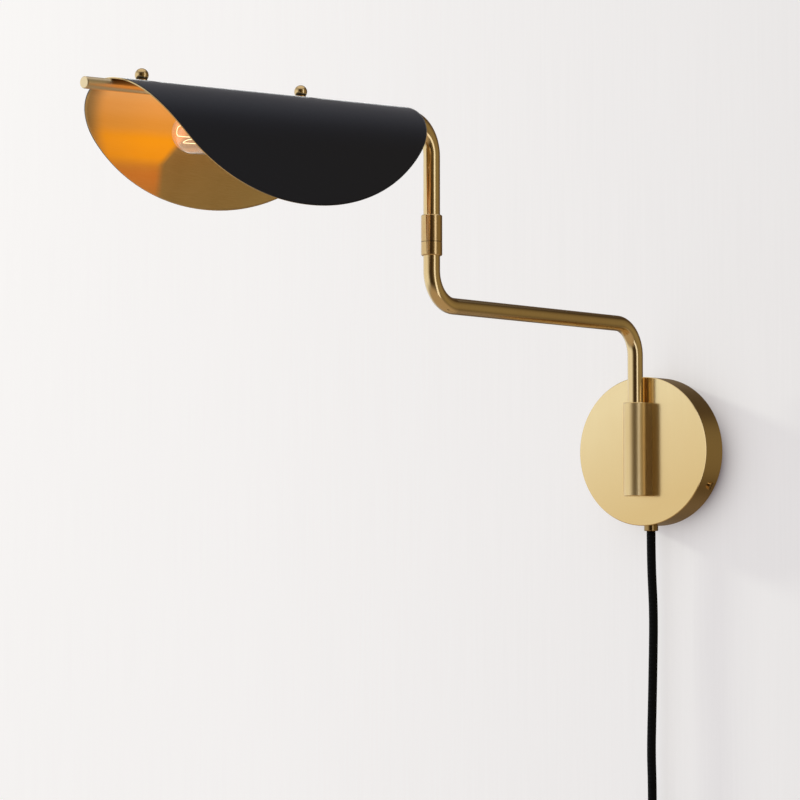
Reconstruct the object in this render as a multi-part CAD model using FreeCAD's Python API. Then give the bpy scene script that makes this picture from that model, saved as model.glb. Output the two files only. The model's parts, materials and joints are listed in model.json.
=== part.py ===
import FreeCAD, Part
import math
import os

# A plug-in wall sconce: a round canopy on the wall, a two-part swing arm of bent brass tube,
# and a folded sheet shade that hangs from a thin rod over a tubular bulb.
# Frame: millimetres, the wall is the plane Y = 0, the room is on the -Y side, +Z is up,
# and the origin is the centre of the wall plate's back face.

Vector = FreeCAD.Vector
ORIGIN = Vector(0, 0, 0)
X_AXIS = Vector(1, 0, 0)
Y_AXIS = Vector(0, 1, 0)
Z_AXIS = Vector(0, 0, 1)
TO_ROOM = Vector(0, -1, 0)
FULL_TURN = 2 * math.pi

# Shared clearances and the overrun of every cut
overrun = 1.0
running_gap = 0.05
screw_gap = 0.05
hole_gap = 0.25

# Canopy and wall plate
canopy_radius = 60.3
canopy_depth = 25.4
canopy_wall = 1.2
canopy_chamfer = 0.5
wall_plate_radius = 55.0
wall_plate_thickness = 1.6
wall_hole_radius = 2.5
wall_hole_spacing = 70.0
ear_width = 12.0
ear_length = 14.0
ear_gap = 0.4

# Rim screws that hold the canopy to the wall plate's ears
rim_screw_angles = (-28.0, 152.0)
rim_screw_from_wall = 8.0
rim_screw_radius = 1.95
rim_screw_length = 5.5
rim_head_radius = 3.3
rim_head_height = 1.4
screw_slot_width = 0.8
screw_slot_depth = 0.7

# Arm holder on the canopy's face
holder_radius = 9.9
holder_axis_from_face = 9.4
holder_top = 38.9
holder_bottom = -36.6
holder_chamfer = 0.6
holder_floor = 8.6
bush_radius = 7.5
bush_length = 14.0
thrust_washer_thickness = 1.0
wire_bore_radius = 3.2
wire_channel_drop = 3.5

# Backing plate and the screws behind the holder
backing_width = 24.0
backing_thickness = 2.5
backing_top = 30.0
backing_bottom = -42.0
holder_screw_heights = (14.0, -3.0)
holder_screw_radius = 1.95
holder_screw_tip_gap = 0.3
holder_head_radius = 3.6
holder_head_height = 2.4
stop_screw_height = -18.0
stop_screw_radius = 1.45
stop_head_radius = 2.7
stop_head_height = 2.0

# Brass tube of both arms
tube_radius = 6.2
tube_wall = 1.2
bend_radius = 25.0

# Lower arm and its turned foot
arm_height = 101.8
arm_reach = 258.0
arm_tube_foot_height = -4.0
arm_stop_angle = 80.0
arm_rest_angle = -3.0
foot_shank_length = 12.0
foot_bore_radius = 3.0
groove_depth = 1.8
groove_height = 3.6
groove_gap = 0.5

# Swivel between the two arms
collar_radius = 7.85
collar_chamfer = 0.6
lower_collar_bottom = 137.6
lower_collar_length = 10.1
swivel_washer_thickness = 0.4
swivel_washer_radius = 7.4
upper_collar_length = 19.7
collar_web = 2.9
nipple_radius = 4.9
nipple_wall = 1.5
nipple_below_web = 5.0
nipple_proud = 0.6
wave_washer_thickness = 0.6
swivel_nut_height = 3.0
swivel_nut_radius = 6.0
swivel_seat_gap = 0.05
swivel_stop_angle = 135.0
swivel_pin_radius = 0.8
swivel_pin_circle = 6.4
swivel_pin_reach = 1.4
swivel_pin_seat = 1.8
head_rest_angle = 0.6
tube_seat_gap = 1.0

# Head: the rod's axis line, its slope, and the turn of the shade on it
rod_height = 241.1
head_slope = 3.2
shade_roll = 2.4
tube_below_rod = 3.0
rod_radius = 4.0
rod_end = 356.0
rod_chamfer = 0.5
spigot_radius = 2.5
spigot_length = 4.5

# End block that joins tube, rod and lampholder stem
block_start = 26.6
block_end = 37.0
block_half_width = 7.5
block_top = 4.0
block_fillet = 1.5
block_tube_depth = 4.6
block_link_radius = 2.4
block_passage_radius = 2.2
block_link_drop = 3.2
stem_seat_depth = 3.6

# Folded shade: an oval blank bent over the rod
shade_half_length = 147.8
shade_half_girth = 104.8
shade_oval_power = 2.03
shade_centre = 185.1
shade_thickness = 0.8
shade_crest_radius = 44.0
shade_crest_angle = 82.0
shade_seat_gap = 0.1
shade_outline_steps = 24

# Ball finials on the crest
finial_places = (146.0, 303.4)
finial_ball_radius = 4.6
finial_ball_height = 3.5
finial_neck_radius = 2.9
finial_stud_radius = 1.45
finial_stud_depth = 5.0
finial_washer_radius = 3.8
finial_washer_thickness = 0.4

# Lampholder
lamp_drop = 27.0
stem_radius = 4.9
stem_wall = 1.4
cup_back = 106.0
cup_length = 36.0
cup_radius = 17.0
cup_wall = 1.0
cup_round = 4.0
stem_nut_height = 2.5
stem_nut_radius = 7.5
holder_body_start = 109.6
holder_body_end = 147.0
holder_body_radius = 15.8
holder_lip = 1.2
lamp_bore_radius = 13.5
lamp_bore_start = 117.0
screw_shell_wall = 0.4
screw_shell_gap = 0.05
screw_shell_short = 2.0
contact_radius = 4.0
contact_thickness = 0.8

# Tubular bulb
bulb_tip = 270.7
bulb_radius = 14.1
bulb_neck_radius = 12.0
bulb_shoulder = 9.0
bulb_wall = 0.8
cap_radius = 12.9
cap_wall = 0.4
cap_length = 25.0
insulator_length = 3.4
insulator_radius = 8.0
bulb_contact_radius = 3.0
bulb_contact_height = 1.0
glass_in_cap = 4.0
glass_stem_radius = 2.6
glass_stem_base_length = 8.0
glass_stem_length = 92.0
filament_radius = 0.35
filament_circle = 7.0
filament_start = 172.0
filament_end = 244.0
filament_legs = 6

# Cord gland, and what lies inside the canopy
cord_radius = 3.6
cord_from_wall = 12.0
gland_radius = 5.75
gland_drop = 4.2
gland_chamfer = 0.5
gland_shank_radius = 4.7
gland_shank_height = 8.5
gland_nut_radius = 6.4
gland_nut_height = 3.0
inner_cord_top = -38.0
clamp_width = 18.0
clamp_height = 8.0
clamp_centre_height = -45.0
clamp_cover = 2.0
clamp_bolt_radius = 1.45
clamp_bolt_offset = 6.4
clamp_head_radius = 2.4
clamp_head_height = 1.6
lead_radius = 1.1
lead_spread = 1.6
lead_bend = 4.0
connector_radius = 3.4
connector_length = 17.0
connector_offset = 3.8
connector_height = -22.0
lead_inset = 1.4

# Free cord: its route from the gland to the in-line switch, chosen by hand
gland_mouth_height = -(canopy_radius + gland_drop)
drop_route = (
    (0.0, -12.0, gland_mouth_height),
    (0.0, -12.0, -92.0),
    (1.5, -10.9, -130.0),
    (0.8, -11.3, -175.0),
    (0.0, -11.9, -215.0),
    (-0.7, -12.2, -243.0),
    (0.0, -12.0, -268.0),
    (0.0, -12.0, -288.0),
)
arc_share = 0.45

# In-line rocker switch
grommet_length = 12.0
grommet_wide_radius = 5.8
grommet_narrow_radius = 4.5
switch_length = 62.0
switch_half_width = 11.5
switch_end_half_width = 6.6
switch_thickness = 18.0
switch_round = 2.2
switch_wall = 1.8
switch_screw_offset = 23.0
switch_screw_radius = 1.2
switch_head_radius = 2.3
switch_head_height = 1.4
window_length = 14.8
window_width = 10.6
window_frame_wall = 1.4
window_frame_depth = 7.6
rocker_radius = 7.1
rocker_width = 10.0
rocker_axle_radius = 1.0
rocker_axle_length = 1.1
rocker_axle_depth = 4.4
rocker_valley_depth = 1.0
rocker_back_depth = 2.2
rocker_tilt = 9.0
rocker_valley_angle = 12.0
core_length = 20.0
core_width = 12.0
core_gap = 0.4

# Coiled cord, its tie and the plug
coil_outer_radius = 48.0
coil_pitch = 7.9
coil_layer_step = 7.9
coil_inward_turns = 2.25
coil_climb_turns = 0.5
coil_climb_dip = 1.6
coil_outward_turns = 2.5
coil_entry_straight = 5.0
coil_entry_bend = 28.0
coil_tail_drop = 12.0
coil_tail_straight = 2.0
coil_end_shift = 0.18
biarcs_per_turn = 4
tie_angle = 70.0
tie_width = 10.0
tie_thickness = 1.2
tie_gap = 0.2
plug_relief_length = 22.0
plug_relief_narrow_radius = 4.4
plug_relief_wide_radius = 6.2
plug_relief_ribs = 5
plug_relief_groove = 0.7
plug_width = 25.0
plug_thickness = 17.0
plug_length = 30.0
plug_round = 3.0
plug_shoulder_share = 0.62
blade_spacing = 12.7
blade_width = 6.35
blade_thickness = 1.5
blade_length = 17.0
blade_seat = 6.0

# Places worked out from the sizes above
canopy_inner_radius = canopy_radius - canopy_wall
face_y = -canopy_depth
inner_face_y = face_y + canopy_wall
backing_y = inner_face_y + backing_thickness
axis_y = face_y - holder_axis_from_face
pivot = Vector(0, axis_y, 0)
swivel_y = axis_y - arm_reach
swivel = Vector(0, swivel_y, 0)
tube_inner_radius = tube_radius - tube_wall
foot_radius = tube_radius + running_gap
plain_bore_radius = foot_radius + running_gap
bore_floor = holder_bottom + holder_floor
wire_channel_z = bore_floor - wire_channel_drop
foot_bottom = bore_floor + thrust_washer_thickness + running_gap
swivel_seam_height = lower_collar_bottom + lower_collar_length
upper_collar_top = swivel_seam_height + swivel_washer_thickness + upper_collar_length
slope = math.radians(head_slope)
crest_height = rod_radius + shade_seat_gap + shade_thickness
switch_top = drop_route[-1][2] - grommet_length
switch_bottom = switch_top - switch_length
switch_middle = (switch_top + switch_bottom) / 2


def cylinder(radius, length, base, direction):
    return Part.makeCylinder(radius, length, base, direction)


def ring(outer, inner, length, base, direction):
    solid = cylinder(outer, length, base, direction)
    start = base - direction * overrun
    return solid.cut(cylinder(inner, length + 2 * overrun, start, direction))


def turned(half_profile, base, direction):
    """Revolve (radius, distance) points about the line from base along direction."""
    side = X_AXIS if abs(direction.x) < abs(direction.y) + abs(direction.z) else Y_AXIS
    points = [base + side * r + direction * d for r, d in half_profile]
    face = Part.Face(Part.makePolygon(points + [points[0]]))
    return face.revolve(base, direction, 360)


def box_between(x0, x1, y0, y1, z0, z1):
    low = Vector(min(x0, x1), min(y0, y1), min(z0, z1))
    return Part.makeBox(abs(x1 - x0), abs(y1 - y0), abs(z1 - z0), low)


def turn(shape, centre, axis, angle):
    moved = shape.copy()
    moved.rotate(centre, axis, angle)
    return moved


def around_y(shape, angle):
    """Turn about the canopy's axis, counted from +X towards +Z."""
    return turn(shape, ORIGIN, TO_ROOM, angle)


def biarc(start, start_tangent, end, end_tangent):
    """Two arcs that join two points along the given unit tangents."""
    span = end - start
    tangent_sum = start_tangent + end_tangent
    a = 2 * (1 - start_tangent.dot(end_tangent))
    b = 2 * span.dot(tangent_sum)
    c = -span.dot(span)
    handle = (-b + math.sqrt(b * b - 4 * a * c)) / (2 * a)
    middle = (start + start_tangent * handle + end - end_tangent * handle) * 0.5
    return [arc_from(start, start_tangent, middle), arc_from(end, -end_tangent, middle, True)]


def arc_from(start, tangent, end, reverse=False):
    """The arc that leaves start along tangent and passes through end."""
    chord = end - start
    across = chord - tangent * chord.dot(tangent)
    normal = across / across.Length
    radius = chord.dot(chord) / (2 * chord.dot(normal))
    centre = start + normal * radius
    half = (start - centre) + (end - centre)
    middle = centre + half * (radius / half.Length)
    if reverse:
        return Part.Arc(end, middle, start).toShape()
    return Part.Arc(start, middle, end).toShape()


def bent_path(points, radii):
    """Straight runs joined by tangent arcs, one radius for each inner point."""
    edges = []
    last = points[0]
    for i, radius in enumerate(radii, start=1):
        before = (points[i - 1] - points[i]).normalize()
        after = (points[i + 1] - points[i]).normalize()
        half_turn = (math.pi - before.getAngle(after)) / 2
        back = radius * math.tan(half_turn)
        start = points[i] + before * back
        end = points[i] + after * back
        inward = (before + after).normalize()
        middle = points[i] + inward * (radius / math.cos(half_turn) - radius)
        if (start - last).Length > running_gap:
            edges.append(Part.LineSegment(last, start).toShape())
        edges.append(Part.Arc(start, middle, end).toShape())
        last = end
    edges.append(Part.LineSegment(last, points[-1]).toShape())
    return edges


def swept(edges, radius):
    """A round bar along the edges, which follow each other tangentially."""
    path = Part.Wire(edges)
    first = edges[0]
    start = first.valueAt(first.FirstParameter)
    tangent = first.tangentAt(first.FirstParameter)
    section = Part.Wire([Part.makeCircle(radius, start, tangent)])
    return Part.Solid(path.makePipeShell([section], True, False))


def screw(tip, head, shank_radius, head_radius, head_height, slotted):
    """A screw whose head's underside is at head, with its shank towards tip."""
    inward = (tip - head).normalize()
    body = cylinder(shank_radius, (tip - head).Length, head, inward)
    body = body.fuse(cylinder(head_radius, head_height, head, -inward))
    if slotted:
        slot = box_between(-head_radius * 2, head_radius * 2, -screw_slot_width / 2,
                           screw_slot_width / 2, head_height - screw_slot_depth,
                           head_height + overrun)
        slot.Placement = FreeCAD.Placement(head, FreeCAD.Rotation(Z_AXIS, -inward))
        body = body.cut(slot)
    return body


def save(name, shape):
    solids = shape.Solids if hasattr(shape, "Solids") else [s for part in shape for s in part.Solids]
    result = solids[0] if len(solids) == 1 else Part.makeCompound(solids)
    result.exportStep(os.path.join("parts", name + ".step"))


# Wall side: canopy, wall plate, holder and what joins them


def rim_point(radius, angle, from_wall):
    a = math.radians(angle)
    return Vector(radius * math.cos(a), -from_wall, radius * math.sin(a))


def make_wall_plate():
    plate = cylinder(wall_plate_radius, wall_plate_thickness, ORIGIN, TO_ROOM)
    ear_outer = canopy_inner_radius - ear_gap
    ear_inner = ear_outer - wall_plate_thickness
    inside = wall_plate_radius - ear_width / 2
    foot = box_between(inside, ear_outer, 0, -wall_plate_thickness, -ear_width / 2, ear_width / 2)
    upright = box_between(ear_inner, ear_outer, 0, -ear_length, -ear_width / 2, ear_width / 2)
    hole = cylinder(rim_screw_radius + screw_gap, wall_plate_thickness + 2 * overrun,
                    Vector(ear_inner - overrun, -rim_screw_from_wall, 0), X_AXIS)
    ear = foot.fuse(upright).cut(hole)
    for angle in rim_screw_angles:
        plate = plate.fuse(around_y(ear, angle))
    for side in (-1, 1):
        start = Vector(side * wall_hole_spacing / 2, overrun, 0)
        plate = plate.cut(cylinder(wall_hole_radius, wall_plate_thickness + 2 * overrun, start, TO_ROOM))
    clamp_hole = Vector(clamp_bolt_offset, overrun, clamp_centre_height)
    plate = plate.cut(cylinder(clamp_bolt_radius + screw_gap, wall_plate_thickness + 2 * overrun,
                               clamp_hole, TO_ROOM))
    return plate.removeSplitter()


def face_holes(gap):
    """Cutters for the holder screws, the stop screw and the leads, through canopy and plate."""
    depth = canopy_wall + backing_thickness + 2 * overrun
    start_y = backing_y + overrun
    cutters = [cylinder(holder_screw_radius + gap, depth, Vector(0, start_y, z), TO_ROOM)
               for z in holder_screw_heights]
    cutters.append(cylinder(stop_screw_radius + gap, depth, Vector(0, start_y, stop_screw_height), TO_ROOM))
    cutters.append(cylinder(wire_bore_radius + gap, depth, Vector(0, start_y, wire_channel_z), TO_ROOM))
    return Part.makeCompound(cutters)


def make_canopy():
    outline = [
        (canopy_inner_radius, 0),
        (canopy_radius, 0),
        (canopy_radius, canopy_depth - canopy_chamfer),
        (canopy_radius - canopy_chamfer, canopy_depth),
        (0, canopy_depth),
        (0, canopy_depth - canopy_wall),
        (canopy_inner_radius, canopy_depth - canopy_wall),
    ]
    shell = turned(outline, ORIGIN, TO_ROOM)
    shell = shell.cut(face_holes(hole_gap))
    for angle in rim_screw_angles:
        start = rim_point(canopy_inner_radius - overrun, angle, rim_screw_from_wall)
        outward = rim_point(1, angle, 0)
        shell = shell.cut(cylinder(rim_screw_radius + hole_gap, canopy_wall + 2 * overrun, start, outward))
    gland_hole = Vector(0, -cord_from_wall, -canopy_inner_radius + overrun)
    return shell.cut(cylinder(gland_shank_radius + screw_gap, canopy_wall + 2 * overrun, gland_hole, -Z_AXIS))


def make_rim_screws():
    screws = []
    for angle in rim_screw_angles:
        tip = rim_point(canopy_radius - rim_screw_length, angle, rim_screw_from_wall)
        head = rim_point(canopy_radius, angle, rim_screw_from_wall)
        screws.append(screw(tip, head, rim_screw_radius, rim_head_radius, rim_head_height, True))
    return screws


def make_holder():
    height = holder_top - holder_bottom
    bar = cylinder(holder_radius, height, Vector(0, axis_y, holder_bottom), Z_AXIS)
    nose = bar.common(box_between(-holder_radius, holder_radius, axis_y - holder_radius, axis_y,
                                  holder_bottom, holder_top))
    back = box_between(-holder_radius, holder_radius, axis_y, face_y, holder_bottom, holder_top)
    body = nose.fuse(back).removeSplitter()
    ends = [e for e in body.Edges
            if abs(e.BoundBox.ZMax - e.BoundBox.ZMin) < running_gap and e.BoundBox.YMin < face_y - running_gap]
    body = body.makeChamfer(holder_chamfer, ends)
    body = body.cut(cylinder(plain_bore_radius, holder_top - bore_floor + overrun,
                             Vector(0, axis_y, bore_floor), Z_AXIS))
    body = body.cut(cylinder(bush_radius, bush_length + overrun,
                             Vector(0, axis_y, holder_top - bush_length), Z_AXIS))
    channel_end = Vector(0, axis_y, wire_channel_z)
    body = body.cut(cylinder(wire_bore_radius, bore_floor - wire_channel_z + overrun, channel_end, Z_AXIS))
    body = body.cut(cylinder(wire_bore_radius, holder_axis_from_face + overrun, channel_end, Y_AXIS))
    for z in holder_screw_heights:
        body = body.cut(cylinder(holder_screw_radius + screw_gap, holder_axis_from_face + overrun,
                                 Vector(0, axis_y, z), Y_AXIS))
    stop_hole = Vector(0, axis_y, stop_screw_height)
    return body.cut(cylinder(stop_screw_radius + screw_gap, holder_axis_from_face + overrun, stop_hole, Y_AXIS))


def make_holder_bush():
    base = Vector(0, axis_y, holder_top - bush_length)
    return ring(bush_radius, tube_radius + running_gap, bush_length - holder_chamfer, base, Z_AXIS)


def make_thrust_washer():
    base = Vector(0, axis_y, bore_floor)
    return ring(tube_radius, wire_bore_radius, thrust_washer_thickness, base, Z_AXIS)


def make_backing_plate():
    half = backing_width / 2
    plate = box_between(-half, half, inner_face_y, backing_y, backing_bottom + half, backing_top - half)
    for z in (backing_bottom + half, backing_top - half):
        plate = plate.fuse(cylinder(half, backing_thickness, Vector(0, inner_face_y, z), Y_AXIS))
    return plate.removeSplitter().cut(face_holes(screw_gap))


def make_holder_screws():
    tip_y = axis_y + plain_bore_radius + holder_screw_tip_gap
    return [screw(Vector(0, tip_y, z), Vector(0, backing_y, z), holder_screw_radius,
                  holder_head_radius, holder_head_height, False) for z in holder_screw_heights]


def make_stop_screw():
    tip_y = axis_y + foot_radius - groove_depth + groove_gap
    return screw(Vector(0, tip_y, stop_screw_height), Vector(0, backing_y, stop_screw_height),
                 stop_screw_radius, stop_head_radius, stop_head_height, False)


def make_gland():
    flange_top = -canopy_inner_radius
    body = cylinder(gland_radius, flange_top - gland_mouth_height,
                    Vector(0, -cord_from_wall, gland_mouth_height), Z_AXIS)
    low_edges = [e for e in body.Edges if e.BoundBox.ZMax < gland_mouth_height + running_gap]
    body = body.makeChamfer(gland_chamfer, low_edges)
    body = body.cut(cylinder(canopy_radius, canopy_depth + 2 * overrun, Vector(0, overrun, 0), TO_ROOM))
    body = body.fuse(cylinder(gland_shank_radius, canopy_wall + gland_shank_height + gland_drop,
                              Vector(0, -cord_from_wall, gland_mouth_height), Z_AXIS))
    bore_length = gland_drop + canopy_wall + gland_shank_height + 2 * overrun
    start = Vector(0, -cord_from_wall, gland_mouth_height - overrun)
    return body.cut(cylinder(cord_radius, bore_length, start, Z_AXIS))


def make_gland_nut():
    seat = -math.sqrt(canopy_inner_radius ** 2 - gland_nut_radius ** 2) + screw_gap
    corners = [Vector(gland_nut_radius * math.cos(k * math.pi / 3),
                      -cord_from_wall + gland_nut_radius * math.sin(k * math.pi / 3), seat) for k in range(7)]
    nut = Part.Face(Part.makePolygon(corners)).extrude(Z_AXIS * gland_nut_height)
    start = Vector(0, -cord_from_wall, seat - overrun)
    return nut.cut(cylinder(gland_shank_radius + screw_gap, gland_nut_height + 2 * overrun, start, Z_AXIS))


def make_inner_cord():
    start = Vector(0, -cord_from_wall, gland_mouth_height)
    return cylinder(cord_radius, inner_cord_top - gland_mouth_height, start, Z_AXIS)


def make_cord_clamp():
    half = clamp_width / 2
    low = clamp_centre_height - clamp_height / 2
    high = clamp_centre_height + clamp_height / 2
    front = -(cord_from_wall + cord_radius + clamp_cover)
    block = box_between(-half, half, -wall_plate_thickness, front, low, high)
    block = block.cut(cylinder(cord_radius, clamp_height + 2 * overrun,
                               Vector(0, -cord_from_wall, low - overrun), Z_AXIS))
    start = Vector(clamp_bolt_offset, overrun, clamp_centre_height)
    return block.cut(cylinder(clamp_bolt_radius + screw_gap, -front + 2 * overrun, start, TO_ROOM))


def make_clamp_screw():
    front = -(cord_from_wall + cord_radius + clamp_cover)
    tip = Vector(clamp_bolt_offset, -screw_gap, clamp_centre_height)
    head = Vector(clamp_bolt_offset, front, clamp_centre_height)
    return screw(tip, head, clamp_bolt_radius, clamp_head_radius, clamp_head_height, True)


def make_connectors():
    outline = [(0, 0), (connector_radius, 0), (connector_radius, connector_length - connector_radius),
               (connector_radius / 2, connector_length), (0, connector_length)]
    return [turned(outline, Vector(side * connector_offset, -cord_from_wall, connector_height), Z_AXIS)
            for side in (-1, 1)]


def make_lead_wires():
    """For each pole, a lead from the cord to its connector and one from there into the holder."""
    solids = []
    for side in (-1, 1):
        start = Vector(side * lead_spread, -cord_from_wall, inner_cord_top)
        end = Vector(side * (connector_offset + lead_inset), -cord_from_wall + lead_inset, connector_height)
        along = (end - start).normalize()
        seat = lead_radius * math.sin(along.getAngle(Z_AXIS))
        solids.append(cylinder(lead_radius, (end - start).Length - 2 * seat, start + along * seat, along))
        inner = side * (connector_offset - lead_inset)
        front = -cord_from_wall - lead_inset
        onward = [Vector(side * lead_spread, axis_y + wire_bore_radius, wire_channel_z),
                  Vector(inner, front, wire_channel_z), Vector(inner, front, connector_height)]
        solids.append(swept(bent_path(onward, (lead_bend,)), lead_radius))
    return solids


# Lower arm: bent tube, turned foot, lower collar and the swivel's hardware


def arm_pose(shape):
    return turn(shape, pivot, Z_AXIS, arm_rest_angle)


def hollow_tube(edges):
    return swept(edges, tube_radius).cut(swept(edges, tube_inner_radius))


def make_arm_tube():
    seat = swivel_seam_height - collar_web
    points = [Vector(0, axis_y, arm_tube_foot_height), Vector(0, axis_y, arm_height),
              Vector(0, swivel_y, arm_height), Vector(0, swivel_y, seat)]
    return arm_pose(hollow_tube(bent_path(points, (bend_radius, bend_radius))))


def ring_sector(outer, inner, height, base, middle_direction_angle, span):
    """Part of a ring about Z, centred on a direction counted from +X."""
    sector = Part.makeCylinder(outer, height, base, Z_AXIS, span)
    sector.rotate(base, Z_AXIS, middle_direction_angle - span / 2)
    return sector.cut(cylinder(inner, height, base, Z_AXIS))


def make_arm_foot():
    barrel = cylinder(foot_radius, arm_tube_foot_height - foot_bottom,
                      Vector(0, axis_y, foot_bottom), Z_AXIS)
    shank = cylinder(tube_inner_radius, foot_shank_length, Vector(0, axis_y, arm_tube_foot_height), Z_AXIS)
    foot = barrel.fuse(shank)
    pin_half_angle = math.degrees(math.asin((stop_screw_radius + running_gap) / (foot_radius - groove_depth)))
    base = Vector(0, axis_y, stop_screw_height - groove_height / 2)
    foot = foot.cut(ring_sector(foot_radius + overrun, foot_radius - groove_depth, groove_height, base,
                                90, 2 * (arm_stop_angle + pin_half_angle)))
    start = Vector(0, axis_y, foot_bottom - overrun)
    length = arm_tube_foot_height + foot_shank_length - foot_bottom + 2 * overrun
    return arm_pose(foot.cut(cylinder(foot_bore_radius, length, start, Z_AXIS)))


def chamfered_ring_body(bottom, top, chamfered_top):
    """The turned outside of a collar, chamfered at its outer end only."""
    c = collar_chamfer
    low = 0 if chamfered_top else c
    high = c if chamfered_top else 0
    height = top - bottom
    outline = [(0, 0), (collar_radius - low, 0), (collar_radius, low), (collar_radius, height - high),
               (collar_radius - high, height), (0, height)]
    unique = [p for i, p in enumerate(outline) if p != outline[i - 1]]
    return turned(unique, Vector(0, swivel_y, bottom), Z_AXIS)


def swivel_pin_centre(z):
    return Vector(0, swivel_y + swivel_pin_circle, z)


def make_lower_collar():
    body = chamfered_ring_body(lower_collar_bottom, swivel_seam_height, False)
    seat = swivel_seam_height - collar_web
    body = body.cut(cylinder(tube_radius, seat - lower_collar_bottom + overrun,
                             Vector(0, swivel_y, lower_collar_bottom - overrun), Z_AXIS))
    body = body.cut(cylinder(nipple_radius, collar_web + 2 * overrun,
                             Vector(0, swivel_y, seat - overrun), Z_AXIS))
    pin_seat = swivel_pin_centre(swivel_seam_height - swivel_pin_seat)
    body = body.cut(cylinder(swivel_pin_radius, swivel_pin_seat + overrun, pin_seat, Z_AXIS))
    return arm_pose(body)


def nut_seat_height():
    return swivel_seam_height + swivel_washer_thickness + collar_web + swivel_seat_gap + wave_washer_thickness


def make_pivot_nipple():
    bottom = swivel_seam_height - collar_web - nipple_below_web
    top = nut_seat_height() + swivel_nut_height + nipple_proud
    return arm_pose(ring(nipple_radius, nipple_radius - nipple_wall, top - bottom,
                         Vector(0, swivel_y, bottom), Z_AXIS))


def make_swivel_washer():
    base = Vector(0, swivel_y, swivel_seam_height)
    thickness = swivel_washer_thickness - swivel_seat_gap
    washer = ring(swivel_washer_radius, nipple_radius + screw_gap, thickness, base, Z_AXIS)
    start = swivel_pin_centre(swivel_seam_height - overrun)
    hole = cylinder(swivel_pin_radius + screw_gap, thickness + 2 * overrun, start, Z_AXIS)
    return arm_pose(washer.cut(hole))


def make_swivel_pin():
    length = swivel_pin_seat + swivel_washer_thickness + swivel_pin_reach
    return arm_pose(cylinder(swivel_pin_radius, length,
                             swivel_pin_centre(swivel_seam_height - swivel_pin_seat), Z_AXIS))


def make_wave_washer():
    base = Vector(0, swivel_y, nut_seat_height() - wave_washer_thickness)
    return arm_pose(ring(swivel_nut_radius, nipple_radius + screw_gap, wave_washer_thickness, base, Z_AXIS))


def make_swivel_nut():
    base = Vector(0, swivel_y, nut_seat_height())
    nut = ring(swivel_nut_radius, nipple_radius, swivel_nut_height, base, Z_AXIS)
    slot_z = nut_seat_height() + swivel_nut_height / 2
    slot = box_between(-swivel_nut_radius - overrun, swivel_nut_radius + overrun,
                       swivel_y - nipple_wall / 2, swivel_y + nipple_wall / 2, slot_z,
                       slot_z + swivel_nut_height)
    return arm_pose(nut.cut(slot))


# Head: upper collar, bent tube, end block, rod, shade and lampholder


def head_pose(shape):
    """Stand the straight head on the swivel, turned with the arm."""
    return arm_pose(turn(shape, swivel, Z_AXIS, head_rest_angle))


def rod_frame(shape, roll=0.0):
    """Carry a shape from the rod's frame: X across, -Y outward along the rod, Z up, origin over the swivel."""
    moved = turn(shape, ORIGIN, Y_AXIS, roll)
    moved.rotate(ORIGIN, X_AXIS, head_slope)
    moved.translate(Vector(0, swivel_y, rod_height))
    return head_pose(moved)


def at(outward, across=0.0, up=0.0):
    return Vector(across, -outward, up)


def make_upper_collar():
    bottom = swivel_seam_height + swivel_washer_thickness
    body = chamfered_ring_body(bottom, upper_collar_top, True)
    body = body.cut(cylinder(nipple_radius + running_gap, collar_web + 2 * overrun,
                             Vector(0, swivel_y, bottom - overrun), Z_AXIS))
    body = body.cut(cylinder(tube_radius, upper_collar_top - bottom,
                             Vector(0, swivel_y, bottom + collar_web), Z_AXIS))
    groove = swivel_pin_radius + screw_gap
    pin_half_angle = math.degrees(math.asin(groove / swivel_pin_circle))
    depth = swivel_pin_reach + swivel_washer_thickness
    base = Vector(0, swivel_y, bottom)
    sector = ring_sector(swivel_pin_circle + groove, swivel_pin_circle - groove, depth, base, 90,
                         2 * (swivel_stop_angle + pin_half_angle))
    return head_pose(body.cut(sector))


def tube_line_height():
    """Height at which the tube's sloping run would meet the upright's axis."""
    return rod_height - tube_below_rod / math.cos(slope)


def make_shade_tube():
    foot = nut_seat_height() + swivel_nut_height + nipple_proud + tube_seat_gap
    corner = Vector(0, swivel_y, tube_line_height())
    outward = Vector(0, -math.cos(slope), -math.sin(slope))
    end_along = block_start + block_tube_depth - tube_below_rod * math.tan(slope)
    points = [Vector(0, swivel_y, foot), corner, corner + outward * end_along]
    return head_pose(hollow_tube(bent_path(points, (bend_radius,))))


def make_end_block():
    width = 2 * block_half_width
    upper = box_between(-block_half_width, block_half_width, -block_start, -block_end, -lamp_drop, block_top)
    lower = cylinder(block_half_width, block_end - block_start, at(block_start, 0, -lamp_drop), TO_ROOM)
    body = upper.fuse(lower).removeSplitter()
    top_edges = [e for e in body.Edges
                 if e.BoundBox.ZMin > block_top - running_gap and e.BoundBox.XMax - e.BoundBox.XMin < width / 2]
    body = body.makeFillet(block_fillet, top_edges)
    body = body.cut(cylinder(tube_radius, block_tube_depth + overrun,
                             at(block_start - overrun, 0, -tube_below_rod), TO_ROOM))
    body = body.cut(cylinder(spigot_radius, spigot_length + overrun, at(block_end - spigot_length), TO_ROOM))
    link_out = block_end - spigot_length + block_link_radius
    link_z = -tube_below_rod - block_link_drop
    body = body.cut(cylinder(block_link_radius, link_out - block_start - block_tube_depth,
                             at(block_start + block_tube_depth, 0, link_z), TO_ROOM))
    passage_out = link_out - block_link_radius
    body = body.cut(cylinder(block_passage_radius, lamp_drop + link_z, at(passage_out, 0, -lamp_drop), Z_AXIS))
    body = body.cut(cylinder(stem_radius, stem_seat_depth + overrun,
                             at(block_end - stem_seat_depth, 0, -lamp_drop), TO_ROOM))
    return rod_frame(body)


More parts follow.
